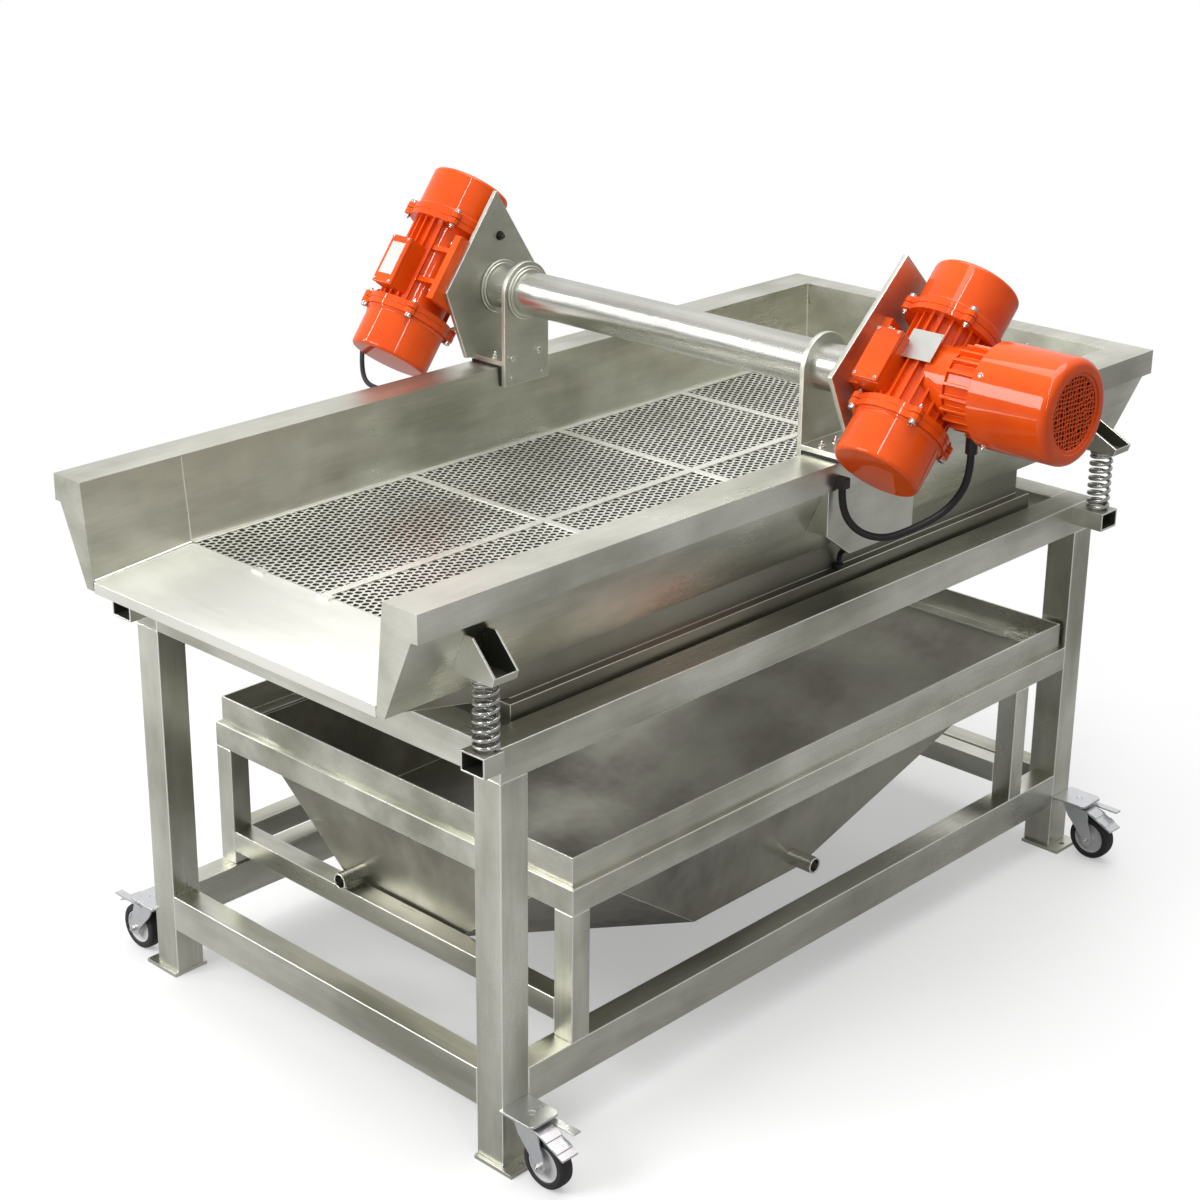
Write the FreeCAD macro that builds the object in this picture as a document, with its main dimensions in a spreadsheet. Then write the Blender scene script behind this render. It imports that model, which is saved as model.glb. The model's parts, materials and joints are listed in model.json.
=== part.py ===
import FreeCAD, Part
import math
import os
import re

# Vibrating dewatering machine: a trough with a perforated screen shakes on four coil springs,
# which stand on a welded tube frame with a catch hopper inside.
# Millimetres. X is the width, Y the length with the open discharge end at -Y, Z is up.
# The origin lies on the floor under the middle of the frame.

SIZES = {
    # main frame of square tube
    "frame_width": 776,
    "frame_length": 1372,
    "leg_tube": 50,
    "tube_wall": 3,
    "rail_top": 634,
    "side_rail_depth": 50,
    "lower_rail_top": 141,
    "lower_rail_depth": 58,
    "lower_rail_width": 40,
    "vent_hole": 8,
    "plate_thickness": 6,
    "plate_overhang_side": 22,
    "plate_overhang_end": 6,
    "anchor_hole": 9,
    # spring seats: the front pair stands before the frame, the rear pair beside it
    "seat_width": 44,
    "seat_depth": 30,
    "front_seat_reach": 36,
    "rear_seat_reach": 58,
    "front_spring_inset": 14,
    "front_spring_reach": 11,
    "rear_spring_reach": 34,
    "rear_spring_inset": 45,
    # coil springs
    "spring_length": 101,
    "spring_outside": 38,
    "spring_wire": 6,
    "spring_turns": 9,
    "spring_runs": 7,
    "wire_sides": 4,
    # trough over the frame
    "trough_inset": 8,
    "front_overhang": 130,
    "rear_overhang": 159,
    "trough_lift": 60,
    "side_height": 158,
    "flange_width": 63,
    "rear_flange_width": 46,
    "lip_height": 40,
    "lip_return": 12,
    "wall_slope": 14,
    "skin_slope": 64,
    "sheet": 3,
    "deck_lift": 28,
    "apron_length": 176,
    "apron_drop": 14,
    "apron_lip": 17,
    "bar_width": 14,
    "bar_height": 3,
    "edge_strip": 10,
    "first_cross_bar": -215,
    "second_cross_bar": 120,
    "third_cross_bar": 430,
    "openings_across": 3,
    "openings_along": 2,
    "open_share": 0.6,
    # catch box under the screen
    "box_inset": 2,
    "box_front_gap": 91,
    "box_rear_gap": 121,
    "skirt_gap": 8,
    "skirt_rise": 19,
    "skirt_drop": 28,
    # sheet brackets over the springs
    "bracket_width": 44,
    "bracket_sheet": 4,
    "bracket_height": 56,
    "bracket_reach": 38,
    # cross tube and its brackets
    "cross_tube_y": 50,
    "arch_rise": 120,
    "cross_tube_outside": 70,
    "cross_tube_wall": 4,
    "arch_thickness": 8,
    "arch_width": 100,
    "arch_inset": 15,
    "arch_overlap": 30,
    "pad_thickness": 4,
    "base_thickness": 8,
    "base_overhang": 6,
    "collar_outside": 88,
    "collar_thickness": 7,
    # motor plates: distances from the cross tube to the corners of each plate
    "motor_plate_inset": 16,
    "motor_plate_thickness": 8,
    "plate_apex_rise": 157,
    "plate_shoulder_rise": 8,
    "left_apex": -6,
    "left_front_shoulder": -119,
    "left_rear_shoulder": 93,
    "left_front_foot": -76,
    "left_rear_foot": 60,
    "right_apex": 100,
    "right_front_shoulder": -66,
    "right_rear_shoulder": 190,
    "right_rear_rise": 68,
    "right_front_foot": -14,
    "right_rear_foot": 110,
    # gussets under the flange
    "gusset_thickness": 6,
    "gusset_inset": 4,
    "gusset_front": -15,
    "gusset_rear": 193,
    "gusset_lift": 8,
    "gusset_chamfer": 40,
    "gusset_run": 56,
    # vibrating motors, set out from the cross tube
    "motor_reach": 81,
    "left_motor_back": -72,
    "left_motor_rise": 19,
    "left_motor_tilt": 37,
    "right_motor_back": 49,
    "right_motor_rise": 1,
    "right_motor_tilt": 44,
    "motor_core_radius": 53,
    "motor_fin_radius": 61,
    "motor_fin_width": 3,
    "motor_fins": 24,
    "bare_sector": 110,
    "motor_body_half": 72,
    "motor_flange_radius": 72,
    "motor_flange": 19,
    "flange_groove": 1.5,
    "lug_radius": 9.5,
    "motor_cap_radius": 66,
    "motor_cap": 70,
    "motor_cap_chamfer": 3,
    "motor_foot_width": 96,
    "motor_foot_length": 112,
    "motor_foot_pad": 14,
    "motor_foot_rib": 8,
    "terminal_box_width": 44,
    "terminal_box_length": 84,
    "terminal_box_height": 26,
    "terminal_box_drop": 20,
    "left_box_offset": 2,
    "right_box_offset": -33,
    # finned drive and fan cowl on the right motor
    "neck_proud": 4,
    "neck_radius": 56,
    "drive_length": 54,
    "drive_core_radius": 52,
    "drive_fin_radius": 62,
    "drive_fin_width": 4,
    "drive_fins": 20,
    "cowl_length": 127,
    "cowl_radius": 76,
    "cowl_wall": 3,
    "cowl_chamfer": 8,
    "grille_radius": 57,
    "grille_hole": 7,
    "inner_hole_share": 0.4,
    "outer_hole_share": 0.75,
    # catch hopper inside the frame
    "hopper_front_gap": 134,
    "ring_top": 379,
    "ring_depth": 40,
    "ring_width": 30,
    "rim_inset": 8,
    "rim_height": 43,
    "rim_flange": 26,
    "hopper_bottom": 186,
    "floor_side_inset": 52,
    "floor_front_inset": 40,
    "floor_nose": 123,
    "floor_corner": 239,
    "floor_rear": 5,
    "hopper_leg_tube": 35,
    "hopper_leg_gap": 151,
    "hopper_bar_rise": 13,
    "spigot_outside": 26,
    "spigot_bore": 20,
    "spigot_reach": 50,
    "spigot_rise": 29,
    "front_spigot_x": -88,
    "side_spigot_y": -20,
    # brake casters beside the legs
    "caster_plate_reach": 62,
    "caster_plate_width": 56,
    "caster_plate_thickness": 4,
    "caster_plate_corner": 6,
    "caster_inset": 21,
    "caster_pivot_reach": 36,
    "caster_trail": 30,
    "caster_headroom": 25,
    "kingpin": 10,
    "race_radius": 17,
    "race_height": 4.7,
    "wheel_diameter": 75,
    "wheel_width": 24,
    "wheel_floor_gap": 1,
    "hub_radius": 12,
    "web_radius": 24,
    "web_recess": 4,
    "tread_chamfer": 4,
    "axle": 8,
    "axle_end": 2,
    "fork_sheet": 3,
    "fork_gap": 30,
    "crown_front": 24,
    "crown_back": 20,
    "cheek_foot": 11,
    "pedal_width": 30,
    "pedal_reach": 76,
    "pedal_drop": 22,
    "pedal_rib": 1.5,
    "pedal_bands": 5,
    "tab_width": 13,
    "tab_gap": 2,
    "tab_reach": 66,
    # flats on round pieces: large castings, wheels, and small pins, screws and holes
    "casting_sides": 32,
    "wheel_sides": 20,
    "pin_sides": 10,
    # clearances between pieces that move on each other or only touch
    "running_clearance": 0.1,
    "face_clearance": 0.3,
    # cables, glands and clips
    "drive_cable": 11,
    "lead_cable": 8,
    "cable_sides": 6,
    "bend_share": 0.45,
    "bend_chords": 2,
    "gland_radius": 9,
    "clip_size": 16,
    "boss_reach": 6,
    "boss_wall": 3,
    "gland_reach": 84,
    "left_boss_z": -50,
}

doc = FreeCAD.newDocument("DewateringMachine")
sheet = doc.addObject("Spreadsheet::Sheet", "Sizes")
for row, (alias, value) in enumerate(SIZES.items(), start=1):
    sheet.set("A%d" % row, alias)
    sheet.set("B%d" % row, str(value))
    sheet.setAlias("B%d" % row, alias)
doc.recompute()

PARTS = []


class SheetReader:
    """Gives each size of the sheet by its alias, and the places that follow from them."""

    def __getattr__(self, alias):
        return float(sheet.get(alias))


def lay_out(s):
    """Works out where the pieces stand from the sizes of the frame that carries them."""
    s.half_width = s.frame_width / 2
    s.half_length = s.frame_length / 2
    s.front_spring_x = s.half_width - s.front_spring_inset
    s.front_spring_y = -s.half_length - s.front_spring_reach
    s.rear_spring_x = s.half_width + s.rear_spring_reach
    s.rear_spring_y = s.half_length - s.rear_spring_inset
    s.trough_half_width = s.half_width - s.trough_inset
    s.trough_front = s.half_length + s.front_overhang
    s.trough_rear = s.half_length + s.rear_overhang
    s.trough_bottom = s.rail_top + s.trough_lift
    s.trough_top = s.trough_bottom + s.side_height
    s.lip_bottom = s.trough_top - s.lip_height
    s.flange_inner_x = s.trough_half_width - s.flange_width
    s.wall_foot_half_width = s.flange_inner_x - s.wall_slope
    s.trough_bottom_half_width = s.trough_half_width - s.skin_slope
    s.deck_top = s.trough_bottom + s.deck_lift
    s.deck_front = s.trough_front - s.apron_length
    s.apron_edge_top = s.deck_top - s.apron_drop
    s.box_half_width = s.trough_bottom_half_width - s.box_inset
    s.box_front = s.half_length - s.box_front_gap
    s.box_rear = s.half_length - s.box_rear_gap
    s.skirt_top = s.rail_top + s.skirt_rise
    s.cross_tube_z = s.trough_top + s.arch_rise
    s.arch_inner_x = s.flange_inner_x - s.arch_inset
    s.base_top = s.trough_top + s.pad_thickness + s.base_thickness
    s.motor_plate_x = s.trough_half_width - s.motor_plate_inset
    s.motor_x = s.motor_plate_x + s.motor_plate_thickness + s.motor_reach
    s.neck_reach = s.motor_fin_radius + s.neck_proud
    s.drive_end_x = s.motor_x + s.neck_reach + s.drive_length
    s.cowl_end_x = s.drive_end_x + s.cowl_length
    s.hopper_front = s.half_length - s.hopper_front_gap
    s.hopper_rear = s.half_length - s.leg_tube
    s.hopper_floor_half_width = s.half_width - s.floor_side_inset
    s.hopper_floor_front = s.hopper_front - s.floor_front_inset
    s.spigot_z = s.hopper_bottom + s.spigot_rise
    s.caster_plate_top = s.wheel_floor_gap + s.wheel_diameter + s.caster_headroom


s = SheetReader()
lay_out(s)
V = FreeCAD.Vector
ALONG_X = V(1, 0, 0)
ALONG_Y = V(0, 1, 0)
UPWARD = V(0, 0, 1)


def bind(thing, prop, expression):
    """Ties a property to an expression in which every size name is a cell of the sheet."""
    named = re.sub(r"[a-z_]{3,}", lambda word: "Sizes." + word.group(0), expression)
    thing.setExpression(prop, named)


def place(thing, at):
    """Ties a placement to three expressions."""
    for axis, expression in zip("xyz", at):
        bind(thing, "Placement.Base." + axis, expression)


def box(name, size, at):
    thing = doc.addObject("Part::Box", name)
    for prop, expression in zip(("Length", "Width", "Height"), size):
        bind(thing, prop, expression)
    place(thing, at)
    return thing


def cylinder(name, radius, height, at, axis=UPWARD):
    thing = doc.addObject("Part::Cylinder", name)
    thing.Placement.Rotation = FreeCAD.Rotation(UPWARD, axis)
    bind(thing, "Radius", radius)
    bind(thing, "Height", height)
    place(thing, at)
    return thing


def cut(name, base, tool):
    thing = doc.addObject("Part::Cut", name)
    thing.Base = base
    thing.Tool = tool
    return thing


def mirror(name, source, normal):
    thing = doc.addObject("Part::Mirroring", name)
    thing.Source = source
    thing.Base = V(0, 0, 0)
    thing.Normal = normal
    return thing


def gather(name, pieces):
    thing = doc.addObject("Part::Compound", name)
    thing.Links = pieces
    return thing


def both_sides(name, source):
    """The piece and its mirror image on the other side of the machine."""
    return [source, mirror(name + "Across", source, ALONG_X)]


def four_corners(name, source):
    """The piece at all four corners of the frame."""
    pair = both_sides(name, source)
    return pair + [mirror(name + "Rear%d" % i, piece, ALONG_Y) for i, piece in enumerate(pair)]


def finish(node, thing):
    """Names a sub-part's file."""
    thing.Label = node
    PARTS.append((node, thing))
    return thing


def solid(node, shape):
    """A sub-part whose shape is worked out from the sheet's sizes."""
    thing = doc.addObject("Part::Feature", "Shape_" + node)
    thing.Shape = shape
    thing.Placement = FreeCAD.Placement()
    return finish(node, thing)


def polygon_face(points):
    return Part.Face(Part.makePolygon(points + [points[0]]))


def slab_x(points, start, end):
    """A flat outline of (y, z) points from one x to another."""
    face = polygon_face([V(start, y, z) for y, z in points])
    return face.extrude(V(end - start, 0, 0))


def slab_y(points, start, end):
    """A flat outline of (x, z) points from one y to another."""
    face = polygon_face([V(x, start, z) for x, z in points])
    return face.extrude(V(0, end - start, 0))


def slab_z(points, start, end):
    """A flat outline of (x, y) points from one height to another."""
    face = polygon_face([V(x, y, start) for x, y in points])
    return face.extrude(V(0, 0, end - start))


def block(low, high):
    size = high - low
    return Part.makeBox(size.x, size.y, size.z, low)


def ring_loop(centre, axis, radius, sides):
    """Corners of a loop of equal sides round an axis."""
    turn = FreeCAD.Rotation(UPWARD, axis)
    angles = [2 * math.pi * k / sides for k in range(sides)]
    return [centre + turn.multVec(V(radius * math.cos(angle), radius * math.sin(angle), 0)) for angle in angles]


def prism(base, axis, radius, length, sides):
    """A straight bar of equal flats that starts at base."""
    return polygon_face(ring_loop(base, axis, radius, int(sides))).extrude(axis * length)


def bore(base, axis, radius, length, sides):
    """A hole of equal flats that touch the round it leaves free, at any angle."""
    return prism(base, axis, radius / math.cos(math.pi / sides), length, sides)


def banded_solid(loops):
    """A solid of flat faces between loops of equal counts, closed by a face at each end."""
    faces = [polygon_face(loops[0]), polygon_face(loops[-1])]
    for near, far in zip(loops, loops[1:]):
        faces += [polygon_face([near[k - 1], near[k], far[k], far[k - 1]]) for k in range(len(near))]
    body = Part.makeSolid(Part.makeShell(faces))
    if body.Volume < 0:
        body.reverse()
    return body


def turned(base, axis, profile, sides):
    """A round piece of equal flats, from pairs of a radius and a distance along its axis."""
    return banded_solid([ring_loop(base + axis * reach, axis, radius, int(sides)) for radius, reach in profile])


def mitred_loops(line, radius, sides):
    """Loops of a bar with flat sides whose runs meet in mitres."""
    heading = (line[1] - line[0]).normalize()
    loops = [ring_loop(line[0], heading, radius, sides)]
    for before, joint, after in zip(line, line[1:], line[2:]):
        heading = (joint - before).normalize()
        across = heading + (after - joint).normalize()
        loops.append([corner + heading * ((joint - corner).dot(across) / heading.dot(across))
                      for corner in loops[-1]])
    heading = (line[-1] - line[-2]).normalize()
    loops.append([corner + heading * (line[-1] - corner).dot(heading) for corner in loops[-1]])
    return loops


def join(shapes):
    return shapes[0].multiFuse(shapes[1:]).removeSplitter()


def mirrored(shape):
    return shape.mirror(V(0, 0, 0), ALONG_X)


def closed_tube(name, size, at, vent_at):
    """A tube with closed ends and one vent hole through its lower wall."""
    outer = box(name + "Outer", size, at)
    inner_size = [expression + " - 2 * tube_wall" for expression in size]
    inner_at = [expression + " + tube_wall" for expression in at]
    inner = box(name + "Inner", inner_size, inner_at)
    vent = doc.addObject("Part::Prism", name + "Vent")
    vent.Polygon = 6
    bind(vent, "Circumradius", "vent_hole / 2")
    bind(vent, "Height", "3 * tube_wall")
    place(vent, (vent_at[0], vent_at[1], at[2] + " - tube_wall"))
    return cut(name, cut(name + "Hollow", outer, inner), vent)


def open_tube(name, size, at, along):
    """A tube that is open at both ends; along is 0, 1 or 2 for X, Y or Z."""
    outer = box(name + "Outer", size, at)
    inner_size = [expression + " - 2 * tube_wall" for expression in size]
    inner_at = [expression + " + tube_wall" for expression in at]
    inner_size[along] = size[along]
    inner_at[along] = at[along]
    inner = box(name + "Inner", inner_size, inner_at)
    return cut(name, outer, inner)


# Main frame

def make_legs():
    size = ("leg_tube", "leg_tube", "rail_top - side_rail_depth - plate_thickness")
    at = ("frame_width / 2 - leg_tube", "frame_length / -2", "plate_thickness")
    leg = open_tube("Leg", size, at, 2)
    finish("legs", gather("Legs", four_corners("Leg", leg)))


def make_foot_plates():
    size = ("leg_tube + plate_overhang_side", "leg_tube + 2 * plate_overhang_end", "plate_thickness")
    at = ("frame_width / 2 - leg_tube", "frame_length / -2 - plate_overhang_end", "0")
    plate = box("FootPlateBlank", size, at)
    hole_at = ("frame_width / 2 + plate_overhang_side / 2", "leg_tube / 2 - frame_length / 2", "0")
    hole = cylinder("AnchorHole", "anchor_hole / 2", "plate_thickness", hole_at)
    finish("foot_plates", gather("FootPlates", four_corners("FootPlate", cut("FootPlate", plate, hole))))


def make_side_rails():
    upper_size = ("leg_tube", "frame_length", "side_rail_depth")
    upper_at = ("frame_width / 2 - leg_tube", "frame_length / -2", "rail_top - side_rail_depth")
    vent_x = "frame_width / 2 - leg_tube / 2"
    upper = closed_tube("UpperSideRail", upper_size, upper_at, (vent_x, "0"))
    lower_size = ("lower_rail_width", "frame_length - 2 * leg_tube", "lower_rail_depth")
    lower_at = ("frame_width / 2 - lower_rail_width", "leg_tube - frame_length / 2",
                "lower_rail_top - lower_rail_depth")
    lower = open_tube("LowerSideRail", lower_size, lower_at, 1)
    rails = both_sides("UpperSideRail", upper) + both_sides("LowerSideRail", lower)
    finish("side_rails", gather("SideRails", rails))


def make_cross_rails():
    upper_size = ("frame_width - 2 * leg_tube", "leg_tube", "side_rail_depth")
    upper_at = ("leg_tube - frame_width / 2", "frame_length / -2", "rail_top - side_rail_depth")
    lower_size = ("frame_width - 2 * leg_tube", "lower_rail_width", "lower_rail_depth")
    lower_at = ("leg_tube - frame_width / 2", "frame_length / -2", "lower_rail_top - lower_rail_depth")
    rails = []
    for name, size, at in (("UpperCrossRail", upper_size, upper_at), ("LowerCrossRail", lower_size, lower_at)):
        rail = open_tube(name, size, at, 0)
        rails += [rail, mirror(name + "Rear", rail, ALONG_Y)]
    finish("cross_rails", gather("CrossRails", rails))


def make_spring_seats():
    """Short open tubes that carry the springs: the front pair looks forward, the rear pair sideways."""
    front_size = ("seat_width", "front_seat_reach", "seat_depth")
    front_at = ("frame_width / 2 - front_spring_inset - seat_width / 2", "frame_length / -2 - front_seat_reach",
                "rail_top - seat_depth")
    front = open_tube("FrontSeat", front_size, front_at, 1)
    rear_size = ("rear_seat_reach", "seat_width", "seat_depth")
    rear_at = ("frame_width / 2", "frame_length / 2 - rear_spring_inset - seat_width / 2",
               "rail_top - seat_depth")
    rear = open_tube("RearSeat", rear_size, rear_at, 0)
    finish("spring_seats", gather("SpringSeats", both_sides("FrontSeat", front) + both_sides("RearSeat", rear)))


# Coil springs

def spring_centres():
    return [(s.front_spring_x, s.front_spring_y), (-s.front_spring_x, s.front_spring_y),
            (s.rear_spring_x, s.rear_spring_y), (-s.rear_spring_x, s.rear_spring_y)]


def coil(x, y):
    """A closed coil of wire: a flat turn at each end, wound in short straight runs."""
    mean_radius = (s.spring_outside - s.spring_wire) / 2
    half_wire = s.spring_wire / 2
    runs = int(s.spring_turns * s.spring_runs)
    end_rise = s.spring_wire + 2 * s.face_clearance
    open_rise = s.spring_length - 2 * s.face_clearance - s.spring_wire - 2 * end_rise
    line = []
    for k in range(runs + 1):
        turn = k / s.spring_runs
        open_share = min(max(turn - 1, 0) / (s.spring_turns - 2), 1)
        rise = end_rise * (min(turn, 1) + max(turn - s.spring_turns + 1, 0)) + open_rise * open_share
        angle = 2 * math.pi * turn
        line.append(V(x + mean_radius * math.cos(angle), y + mean_radius * math.sin(angle),
                      s.rail_top + s.face_clearance + half_wire + rise))
    return banded_solid(mitred_loops(line, half_wire, int(s.wire_sides)))


def make_springs():
    """Four coils, each 0.3 mm clear of its seat and of its bracket."""
    solid("springs", Part.makeCompound([coil(x, y) for x, y in spring_centres()]))


# Trough

def wall_x(z):
    """Inner face of a side wall at a height."""
    share = (z - s.deck_top) / (s.trough_top - s.deck_top)
    return s.wall_foot_half_width + share * s.wall_slope


def skin_x(z):
    """Outer slanting face of a side section at a height."""
    upper = s.trough_half_width - s.lip_return
    share = (z - s.trough_bottom) / (s.lip_bottom - s.trough_bottom)
    return s.trough_bottom_half_width + share * (upper - s.trough_bottom_half_width)


def hollow_profile(points, start, end, wall, slab):
    """A closed section of sheet: an outline with a wall all round and closed ends."""
    outline = slab(points, start, end)
    end_face = outline.Faces[-1]
    inner = end_face.OuterWire.makeOffset2D(-wall, join=2)
    span = end - start
    direction = end_face.CenterOfMass - outline.CenterOfMass
    direction.normalize()
    core = Part.Face(inner).extrude(direction * (2 * wall - span))
    core.translate(direction * -wall)
    return outline.cut(core)


def make_trough_sides():
    points = [(s.flange_inner_x, s.trough_top), (s.trough_half_width, s.trough_top),
              (s.trough_half_width, s.lip_bottom), (s.trough_half_width - s.lip_return, s.lip_bottom),
              (s.trough_bottom_half_width, s.trough_bottom), (wall_x(s.trough_bottom), s.trough_bottom)]
    side = hollow_profile(points, -s.trough_front, s.trough_rear, s.sheet, slab_y)
    drain_x = (s.trough_bottom_half_width + wall_x(s.trough_bottom)) / 2
    drain = prism(V(drain_x, 0, s.trough_bottom - s.sheet), UPWARD, s.sheet, 3 * s.sheet, s.pin_sides / 2)
    side = side.cut(drain)
    solid("trough_sides", Part.makeCompound([side, mirrored(side)]))


def make_trough_end():
    """The closed feed end between the two side sections."""
    outer_y = s.trough_rear
    inner_y = s.trough_rear - s.rear_flange_width
    foot_y = inner_y - s.wall_slope
    points = [(inner_y, s.trough_top), (outer_y, s.trough_top), (outer_y, s.lip_bottom),
              (outer_y - s.lip_return, s.lip_bottom), (foot_y + s.lip_return, s.trough_bottom),
              (foot_y, s.trough_bottom), (foot_y, s.deck_top)]
    half = wall_x(s.trough_bottom)
    wall = hollow_profile(points, -half, half, s.sheet, slab_x)
    drain = prism(V(0, foot_y + s.lip_return / 2, s.trough_bottom - s.sheet), UPWARD, s.sheet, 3 * s.sheet,
                  s.pin_sides / 2)
    wall = wall.cut(drain)
    corner = slab_x([(inner_y, s.trough_top), (outer_y, s.trough_top), (outer_y, s.lip_bottom),
                     (inner_y, s.lip_bottom)], half, s.flange_inner_x)
    taper = slab_y([(half, s.trough_bottom), (half, s.trough_top), (s.flange_inner_x, s.trough_top)],
                   inner_y, outer_y)
    corner = corner.common(taper)
    solid("trough_end", join([wall, corner, mirrored(corner)]))


def make_apron():
    """Plain discharge tray that slopes down from the screen to a folded front lip."""
    top = [(-s.trough_front, s.apron_edge_top), (-s.deck_front, s.deck_top)]
    under = [(-s.deck_front, s.deck_top - s.sheet),
             (-s.trough_front + s.sheet, s.apron_edge_top - s.sheet),
             (-s.trough_front + s.sheet, s.apron_edge_top - s.apron_lip),
             (-s.trough_front, s.apron_edge_top - s.apron_lip)]
    half = wall_x(s.apron_edge_top - s.apron_lip)
    solid("apron", slab_x(top + under, -half, half))


def panel_openings(left, right, front, rear):
    """A grid of openings in one panel of the deck, each a share of its own pitch."""
    across = (right - left) / s.openings_across
    along = (rear - front) / s.openings_along
    border = (1 - s.open_share) / 2
    openings = []
    for column in range(int(s.openings_across)):
        for row in range(int(s.openings_along)):
            near = V(left + (column + border) * across, front + (row + border) * along, s.deck_top - s.sheet)
            openings.append(block(near, near + V(across * s.open_share, along * s.open_share, s.sheet)))
    return openings


def make_deck():
    """Screen deck with a plain grid of openings between its bars, in place of its thousands of fine holes."""
    end_y = s.trough_rear - s.rear_flange_width - s.wall_slope
    half = wall_x(s.deck_top - s.sheet)
    reach = wall_x(s.deck_top)
    middle = s.bar_width / 2
    cross_bars = (s.first_cross_bar, s.second_cross_bar, s.third_cross_bar)
    deck = block(V(-half, -s.deck_front, s.deck_top - s.sheet), V(half, end_y, s.deck_top))
    fronts = [-s.deck_front] + [y + middle for y in cross_bars]
    rears = [y - middle for y in cross_bars] + [end_y]
    edge = reach - s.edge_strip
    openings = []
    for front, rear in zip(fronts, rears):
        openings += panel_openings(-edge, -middle, front, rear) + panel_openings(middle, edge, front, rear)
    solid("screen_deck", deck.cut(openings))
    low = s.deck_top
    high = s.deck_top + s.bar_height
    bars = [block(V(-middle, -s.deck_front, low), V(middle, end_y, high))]
    for y in cross_bars:
        bars.append(block(V(-reach, y - middle, low), V(reach, y + middle, high)))
    for x in (-reach, edge):
        bars.append(block(V(x, -s.deck_front, low), V(x + s.edge_strip, end_y, high)))
    solid("screen_bars", join(bars))


def frame_of_sheet(half, front, rear, low, high, wall):
    outer = block(V(-half, -front, low), V(half, rear, high))
    inner = block(V(wall - half, wall - front, low), V(half - wall, rear - wall, high))
    return outer.cut(inner)


def make_catch_box():
    """Open box of sheet under the screen that leads the water down into the hopper."""
    skirt_half = s.half_width - s.leg_tube - s.skirt_gap
    step = skirt_half - s.box_half_width
    upper = frame_of_sheet(s.box_half_width, s.box_front, s.box_rear, s.skirt_top - s.sheet,
                           s.trough_bottom, s.sheet)
    lower = frame_of_sheet(skirt_half, s.box_front + step, s.box_rear + step, s.rail_top - s.skirt_drop,
                           s.skirt_top, s.sheet)
    ledge = frame_of_sheet(skirt_half, s.box_front + step, s.box_rear + step, s.skirt_top - s.sheet,
                           s.skirt_top, step + s.sheet)
    end_half = wall_x(s.trough_bottom)
    ends = []
    for y in (-s.box_front, s.box_rear - s.sheet):
        ends.append(block(V(-end_half, y, s.trough_bottom - s.sheet),
                          V(end_half, y + s.sheet, s.deck_top - s.sheet)))
    wing = slab_x([(-s.trough_front + 2 * s.lip_return, s.trough_bottom), (-s.box_front, s.trough_bottom),
                   (-s.box_front, s.skirt_top)], s.box_half_width - s.sheet, s.box_half_width)
    solid("catch_box", join([upper, lower, ledge, wing, mirrored(wing)] + ends))


def spring_bracket(x, y):
    """Bent channel on the trough wall: two slanted cheeks and a floor that sits on the spring."""
    floor_z = s.rail_top + s.spring_length
    top_z = floor_z + s.bracket_height
    tip = x + s.bracket_reach
    shoulder = floor_z + s.bracket_sheet + 8
    cheek = [(skin_x(floor_z), floor_z), (tip - 4, floor_z), (tip, shoulder),
             (skin_x(top_z) + 14, top_z), (skin_x(top_z), top_z)]
    half = s.bracket_width / 2
    front = slab_y(cheek, y - half, y - half + s.bracket_sheet)
    rear = slab_y(cheek, y + half - s.bracket_sheet, y + half)
    floor = slab_y([(skin_x(floor_z), floor_z), (tip - 4, floor_z), (tip, shoulder),
                    (tip - s.bracket_sheet, shoulder), (tip - 4 - s.bracket_sheet, floor_z + s.bracket_sheet),
                    (skin_x(floor_z + s.bracket_sheet), floor_z + s.bracket_sheet)], y - half, y + half)
    return join([front, rear, floor])


def make_spring_brackets():
    front = spring_bracket(s.front_spring_x, s.front_spring_y)
    rear = spring_bracket(s.rear_spring_x, s.rear_spring_y)
    solid("spring_brackets", Part.makeCompound([front, mirrored(front), rear, mirrored(rear)]))


# Cross tube, arch brackets and motor plates

def make_cross_tube():
    half = "frame_width / 2 - trough_inset - motor_plate_inset"
    length = "2 * (%s)" % half
    at = ("-(%s)" % half, "cross_tube_y", "rail_top + trough_lift + side_height + arch_rise")
    outer = cylinder("CrossTubeOuter", "cross_tube_outside / 2", length, at, ALONG_X)
    inner = cylinder("CrossTubeInner", "cross_tube_outside / 2 - cross_tube_wall", length, at, ALONG_X)
    finish("cross_tube", cut("CrossTube", outer, inner))


def make_collars():
    """Weld rings where the cross tube meets the arch brackets and the motor plates."""
    rings = []
    for x in (s.arch_inner_x - s.collar_thickness, s.motor_plate_x - s.collar_thickness):
        centre = V(x, s.cross_tube_y, s.cross_tube_z)
        ring = prism(centre, ALONG_X, s.collar_outside / 2, s.collar_thickness, s.wheel_sides)
        ring = ring.cut(bore(centre, ALONG_X, s.cross_tube_outside / 2, s.collar_thickness, s.wheel_sides))
        rings += [ring, mirrored(ring)]
    solid("tube_collars", Part.makeCompound(rings))


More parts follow.
